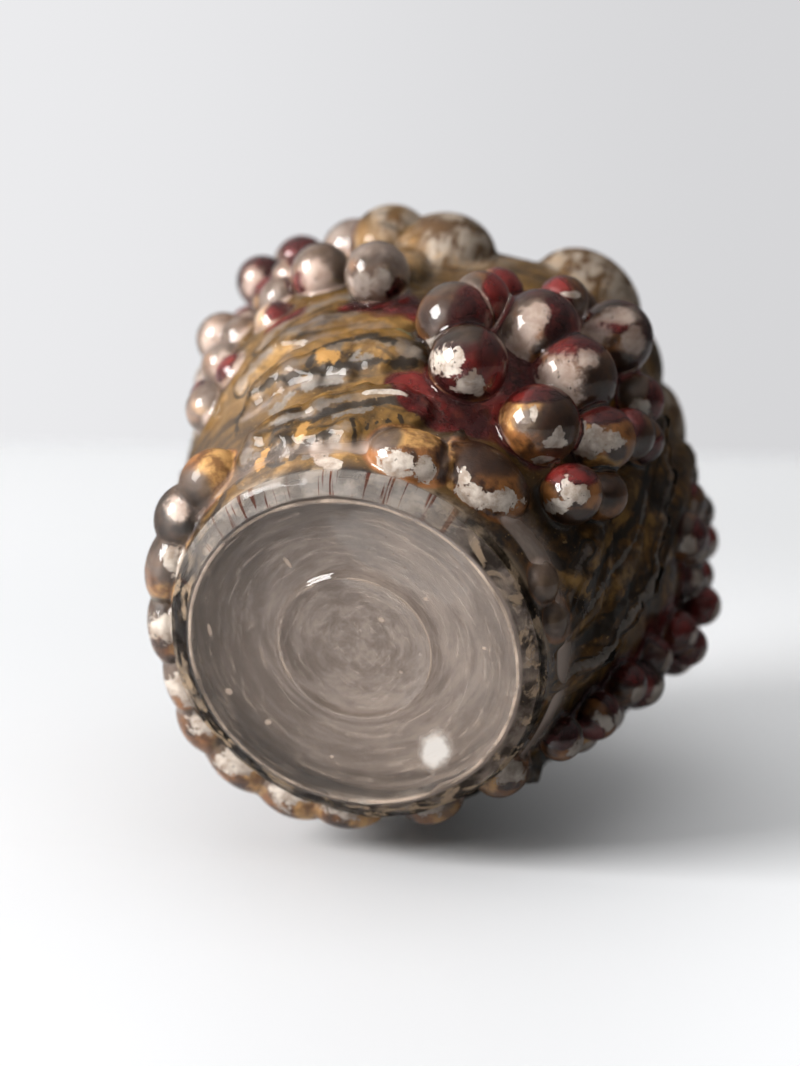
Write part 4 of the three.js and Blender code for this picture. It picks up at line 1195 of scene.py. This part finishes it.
    # the grapes
    ball = mix_colour(nt, ramp(nt, add(nt, mul(nt, n1, 0.5), mul(nt, n2, 0.5)), 0.40, 0.60), srgb(46, 22, 8), srgb(158, 102, 52))
    base = mix_colour(nt, ramp(nt, grape, 0.3, 0.8), base, ball)
    gold = ramp(nt, add(nt, attr(nt, "goldp"), mul(nt, less(nt, n2, 0.5), 0.7)), 0.38, 0.58)
    base = mix_colour(nt, mul(nt, gold, 0.9), base, mix_colour(nt, ramp(nt, n2, 0.4, 0.62), srgb(140, 96, 52), srgb(218, 170, 104)))
    # painted reflection: grey on the grapes' tops and rims
    painted_grey_reflection = ramp(nt, add(nt, attr(nt, "painted_grey_reflection"), mul(nt, less(nt, n1, 0.5), 0.5)), 0.34, 0.62)
    base = mix_colour(nt, mul(nt, painted_grey_reflection, 0.92), base, mix_colour(nt, ramp(nt, n1, 0.34, 0.66), srgb(38, 29, 22), srgb(98, 82, 70)))
    # dark paint on the grapes, with painted shade on their right and lower sides
    black = ramp(nt, add(nt, attr(nt, "dark_paint_and_shade"), mul(nt, less(nt, n2, 0.5), 0.5)), 0.36, 0.62)
    base = mix_colour(nt, mul(nt, black, 0.92), base, mix_colour(nt, n2, srgb(26, 10, 5), srgb(60, 34, 14)))
    base = mix_colour(nt, mul(nt, attr(nt, "pale"), 0.5), base, mix_colour(nt, ramp(nt, n1, 0.38, 0.62), srgb(128, 104, 86), srgb(200, 184, 174)))
    base = mix_colour(nt, mul(nt, maroon, 0.7), base, srgb(78, 24, 16))
    creamy = mix_colour(nt, ramp(nt, noise(nt, p, 420, 5, 0.65), 0.34, 0.66), srgb(160, 142, 126), srgb(218, 208, 196))
    creamy = mix_colour(nt, mul(nt, attr(nt, "soft"), 0.62), creamy, mix_colour(nt, n2, srgb(172, 130, 110), srgb(226, 198, 182)))
    base = mix_colour(nt, cream, base, creamy)
    crumbs = mul(nt, cream, ramp(nt, noise(nt, p, 800, 4, 0.6), 0.64, 0.67))
    base = mix_colour(nt, crumbs, base, srgb(46, 32, 18))
    back = attr(nt, "backside")
    inside = mix_colour(nt, n1, srgb(128, 116, 104), srgb(186, 176, 166))
    # near the foot the back takes the same black and tan, painted reflection
    inside = mix_colour(nt, less(nt, 1.0, ramp(nt, rise, 0.009, 0.014)), inside, mix_colour(nt, ramp(nt, turns, 0.42, 0.60), srgb(26, 20, 14), srgb(150, 132, 110)))
    base = mix_colour(nt, mul(nt, back, 0.92), base, inside)
    b = node(nt, "ShaderNodeBsdfPrincipled")
    link(nt, base, b.inputs["Base Color"])
    metal = mul(nt, mul(nt, mul(nt, less(nt, 1.0, cream), 0.3), less(nt, 1.0, mul(nt, grape, 0.7))), less(nt, 1.0, back))
    link(nt, mul(nt, metal, less(nt, 1.0, mul(nt, black, 0.8))), b.inputs["Metallic"])
    link(nt, add(nt, 0.32, mul(nt, n2, 0.3)), b.inputs["Roughness"])
    height = less(nt, add(nt, mul(nt, n3, 0.35), mul(nt, n2, 0.5)), mul(nt, cream, 0.6))
    bump = node(nt, "ShaderNodeBump")
    bump.inputs["Strength"].default_value = 0.6
    bump.inputs["Distance"].default_value = 0.0005
    link(nt, height, bump.inputs["Height"])
    link(nt, bump.outputs["Normal"], b.inputs["Normal"])
    link(nt, b.outputs[0], out.inputs["Surface"])
    return mat


def red_material():
    mat, nt = tree("red_paint")
    out = node(nt, "ShaderNodeOutputMaterial")
    tc = node(nt, "ShaderNodeTexCoord")
    p = tc.outputs["Object"]
    n1 = noise(nt, p, 120, 5, 0.62)
    n2 = noise(nt, p, 420, 4, 0.6)
    cream, maroon = paint_masks(nt, p)
    base = mix_colour(nt, ramp(nt, n1, 0.38, 0.62), srgb(56, 6, 5), srgb(122, 28, 22))
    base = mix_colour(nt, mul(nt, ramp(nt, n2, 0.56, 0.72), 0.3), base, srgb(158, 82, 58))
    # painted shade in the hollows between the grapes
    base = mix_colour(nt, mul(nt, attr(nt, "dark"), 0.8), base, srgb(44, 7, 7))
    # the grapes' dark patches, dark paint with painted shade
    base = mix_colour(nt, mul(nt, ramp(nt, attr(nt, "dark_paint_and_shade"), 0.35, 0.7), 0.7), base, srgb(40, 14, 10))
    b = node(nt, "ShaderNodeBsdfPrincipled")
    link(nt, base, b.inputs["Base Color"])
    b.inputs["Metallic"].default_value = 0.1
    link(nt, add(nt, 0.35, mul(nt, n2, 0.25)), b.inputs["Roughness"])
    alpha = mul(nt, mul(nt, maroon, less(nt, 1.0, cream)), ramp(nt, attr(nt, "cover"), 0.0, 0.35))
    alpha = mul(nt, alpha, add(nt, 0.66, mul(nt, ramp(nt, n2, 0.3, 0.6), 0.3)))
    link(nt, alpha, b.inputs["Alpha"])
    link(nt, b.outputs[0], out.inputs["Surface"])
    return mat


mat_glass, mat_gold, mat_red = glass_material(), gold_material(), red_material()
glass.data.materials.append(mat_glass)
gold.data.materials.append(mat_gold)
for ob in red_objects.values():
    ob.data.materials.append(mat_red)

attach(glass, "root"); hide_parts("glass_body")
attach(gold, "root"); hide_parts("gold_film")
for key, ob in red_objects.items():
    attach(ob, "root"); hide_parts("red_film_bunch_" + key)

# ---------------------------------------------------------------- camera at the photograph's angle
cam_pos = to_frame((220.16, 0.0, -350.55)) * MM
right = to_frame((0.41949, 0.87563, 0.23938))
up = to_frame((0.76749, -0.48294, 0.42159))
backw = to_frame((0.48476, 0.00687, -0.87462))
cam_data = bpy.data.cameras.new("camera")
cam = bpy.data.objects.new("camera", cam_data)
bpy.context.scene.collection.objects.link(cam)
m = np.eye(4)
m[:3, 0], m[:3, 1], m[:3, 2], m[:3, 3] = right, up, backw, cam_pos
cam.matrix_world = Matrix(m.tolist())
cam_data.sensor_width = 36.0
cam_data.lens = 2400.0 / 1066.0 * 36.0
cam_data.clip_start, cam_data.clip_end = 0.01, 20.0
bpy.context.scene.camera = cam
focus = bpy.data.objects.new("focus_point", None)
bpy.context.scene.collection.objects.link(focus)
focus.location = to_frame((38.0, 0.0, 12.0)) * MM
cam_data.dof.use_dof = True
cam_data.dof.focus_object = focus
cam_data.dof.aperture_fstop = 10.0

# ---------------------------------------------------------------- stage: two plain floors, one for each way the vase is shown
up_photo = to_frame((0.848, -0.472, 0.240))
up_photo /= np.linalg.norm(up_photo)
low = min(float((c * MM) @ up_photo) for c in all_co[:: 7])
floor_b_at = up_photo * (low - 0.0002)
toward = -backw - (-backw @ up_photo) * up_photo
toward /= np.linalg.norm(toward)
sidew = np.cross(toward, up_photo)


def below_base(nt):
    """A value that is 1 while the scene camera is under the base plane, and 0 otherwise."""
    v = nt.nodes.new("ShaderNodeValue")
    d = v.outputs[0].driver_add("default_value").driver
    d.type = "SCRIPTED"
    var = d.variables.new()
    var.name = "z"
    var.type = "TRANSFORMS"
    var.targets[0].id = cam
    var.targets[0].transform_type = "LOC_Z"
    var.targets[0].transform_space = "WORLD_SPACE"
    d.expression = "z < 0"
    return v.outputs[0]


def floor_material(name, below):
    mat, nt = tree(name)
    out = node(nt, "ShaderNodeOutputMaterial")
    tc = node(nt, "ShaderNodeTexCoord")
    b = node(nt, "ShaderNodeBsdfPrincipled")
    n = noise(nt, tc.outputs["Object"], 6, 3)
    link(nt, mix_colour(nt, n, (0.80, 0.805, 0.815), (0.84, 0.84, 0.85)), b.inputs["Base Color"])
    b.inputs["Roughness"].default_value = 0.42
    b.inputs["Specular IOR Level"].default_value = 0.3
    if below:
        # painted light: to the camera the floor glows, evening out its far part and lifting the vase's shadow on the
        # right; to other rays it turns darker, most on the right, as painted shade that keeps it from washing out the
        # dark side of the vase
        path = node(nt, "ShaderNodeLightPath")
        sep = node(nt, "ShaderNodeSeparateXYZ")
        link(nt, tc.outputs["Object"], sep.inputs[0])
        way = add(nt, add(nt, mul(nt, sep.outputs[0], float(toward[0])), mul(nt, sep.outputs[1], float(toward[1]))), mul(nt, sep.outputs[2], float(toward[2])))
        over = add(nt, add(nt, mul(nt, sep.outputs[0], float(right[0])), mul(nt, sep.outputs[1], float(right[1]))), mul(nt, sep.outputs[2], float(right[2])))
        b.inputs["Emission Color"].default_value = (0.98, 0.99, 1.0, 1)
        unseen = mul(nt, less(nt, 1.0, path.outputs["Is Camera Ray"]), add(nt, 0.14, mul(nt, ramp(nt, over, -0.04, 0.06), 0.56)))
        link(nt, mul(nt, add(nt, add(nt, 0.0, mul(nt, ramp(nt, way, 0.0, 0.5), 0.23)), mul(nt, ramp(nt, over, 0.0, 0.10), mul(nt, less(nt, 1.0, ramp(nt, way, 0.06, 0.35)), 0.20))), less(nt, 1.0, unseen)), b.inputs["Emission Strength"])
        link(nt, mix_colour(nt, mul(nt, unseen, 0.9), mix_colour(nt, n, (0.80, 0.805, 0.815), (0.84, 0.84, 0.85)), (0.10, 0.09, 0.08)), b.inputs["Base Color"])
    clear = node(nt, "ShaderNodeBsdfTransparent")
    mix = node(nt, "ShaderNodeMixShader")
    flag = below_base(nt)
    if not below:
        flag = math_node(nt, "SUBTRACT", 1.0, flag)
    link(nt, flag, mix.inputs[0])
    link(nt, clear.outputs[0], mix.inputs[1])
    link(nt, b.outputs[0], mix.inputs[2])
    link(nt, mix.outputs[0], out.inputs["Surface"])
    return mat


def quad(name, centre, ux, uy, half_x0, half_x1, half_y0, half_y1, mat, slant=0.0):
    c, ux, uy = np.array(centre), np.array(ux), np.array(uy)
    pts = [c + ux * a + uy * b for a, b in ((half_x0, half_y0), (half_x1, half_y0), (half_x1, half_y1 + slant * half_x1), (half_x0, half_y1 + slant * half_x0))]
    me = bpy.data.meshes.new(name)
    me.from_pydata([p.tolist() for p in pts], [], [(0, 1, 2, 3)])
    ob = bpy.data.objects.new(name, me)
    bpy.context.scene.collection.objects.link(ob)
    me.materials.append(mat)
    return ob


quad("floor_standing", (0, 0, -0.0001), (1, 0, 0), (0, 1, 0), -2.5, 2.5, -2.5, 2.5, floor_material("floor_standing", False))
cam_over = float(cam_pos @ up_photo - floor_b_at @ up_photo)
far_edge = float((cam_pos - floor_b_at) @ toward) + cam_over / math.tan(math.radians(9.45))
quad("floor_lying", floor_b_at, sidew, toward, -2.5, 2.5, -1.2, far_edge, floor_material("floor_lying", True), -0.11)

# world: a pale backdrop for the camera, and a room that is bright beyond the vase and to the left, dim on the right and behind the camera
world = bpy.data.worlds.new("studio")
bpy.context.scene.world = world
world.use_nodes = True
nt = world.node_tree
nt.nodes.clear()
wout = nt.nodes.new("ShaderNodeOutputWorld")
wtc = nt.nodes.new("ShaderNodeTexCoord")


def facing(direction):
    n = node(nt, "ShaderNodeVectorMath", operation="DOT_PRODUCT")
    link(nt, wtc.outputs["Generated"], n.inputs[0])
    n.inputs[1].default_value = tuple(float(q) for q in direction)
    return n.outputs["Value"]


def scaled(fac, lo, hi, out_lo, out_hi):
    n = node(nt, "ShaderNodeMapRange", clamp=True, interpolation_type="SMOOTHSTEP")
    link(nt, fac, n.inputs["Value"])
    for key, v in (("From Min", lo), ("From Max", hi), ("To Min", out_lo), ("To Max", out_hi)):
        n.inputs[key].default_value = v
    return n.outputs["Result"]


side = facing(right)
depth_way = facing(backw)
height_way = facing(up_photo)
room = mul(nt, scaled(side, -0.9, 0.35, 0.62, 0.07), scaled(depth_way, -0.8, 0.8, 1.25, 0.16))
room = add(nt, room, scaled(height_way, 0.1, 1.0, 0.0, 0.17))
lying = below_base(nt)
strength = add(nt, mul(nt, lying, room), mul(nt, less(nt, 1.0, lying), 0.84))
env = nt.nodes.new("ShaderNodeBackground")
env.inputs["Color"].default_value = (0.98, 0.99, 1.0, 1)
link(nt, strength, env.inputs["Strength"])
seen = nt.nodes.new("ShaderNodeBackground")
# painted shade: the backdrop grows darker towards the right
back_tone = scaled(side, -0.2, 0.17, 0.0, 1.0)
link(nt, mix_colour(nt, back_tone, srgb(236, 236, 238), srgb(214, 214, 216)), seen.inputs["Color"])
seen.inputs["Strength"].default_value = 1.0
wpath = nt.nodes.new("ShaderNodeLightPath")
wmix = nt.nodes.new("ShaderNodeMixShader")
link(nt, wpath.outputs["Is Camera Ray"], wmix.inputs[0])
link(nt, env.outputs[0], wmix.inputs[1])
link(nt, seen.outputs[0], wmix.inputs[2])
link(nt, wmix.outputs[0], wout.inputs["Surface"])


def area(name, at, target, size, power, below, size_y=None):
    ld = bpy.data.lights.new(name, "AREA")
    ld.shape = "RECTANGLE"
    ld.size, ld.size_y = size, size_y or size
    ob = bpy.data.objects.new(name, ld)
    bpy.context.scene.collection.objects.link(ob)
    at, target = Vector(at), Vector(target)
    ob.location = at
    ob.rotation_mode = "QUATERNION"
    ob.rotation_quaternion = (target - at).to_track_quat("-Z", "Y")
    d = ld.driver_add("energy").driver
    d.type = "SCRIPTED"
    var = d.variables.new()
    var.name = "z"
    var.type = "TRANSFORMS"
    var.targets[0].id = cam
    var.targets[0].transform_type = "LOC_Z"
    var.targets[0].transform_space = "WORLD_SPACE"
    d.expression = "%.6f * (z %s 0)" % (power, "<" if below else ">=")
    return ob


mid = np.array([0, 0, 0.05])
# lying view: one window to the left, and a broad soft fill overhead
area("key_lying", mid + (-right * 0.82 + up * 0.40 + backw * 0.44), mid, 0.44, 14.8, True, 0.52)
area("fill_lying", mid + (up_photo * 1.3 - toward * 0.1), mid, 1.4, 5.4, True).visible_glossy = False
# standing views
area("key_standing", (-0.9, -0.9, 1.0), mid, 0.6, 10.0, False)
area("fill_standing", (1.1, 0.4, 0.9), mid, 1.0, 3.5, False)

bpy.context.scene.view_settings.view_transform = "Standard"
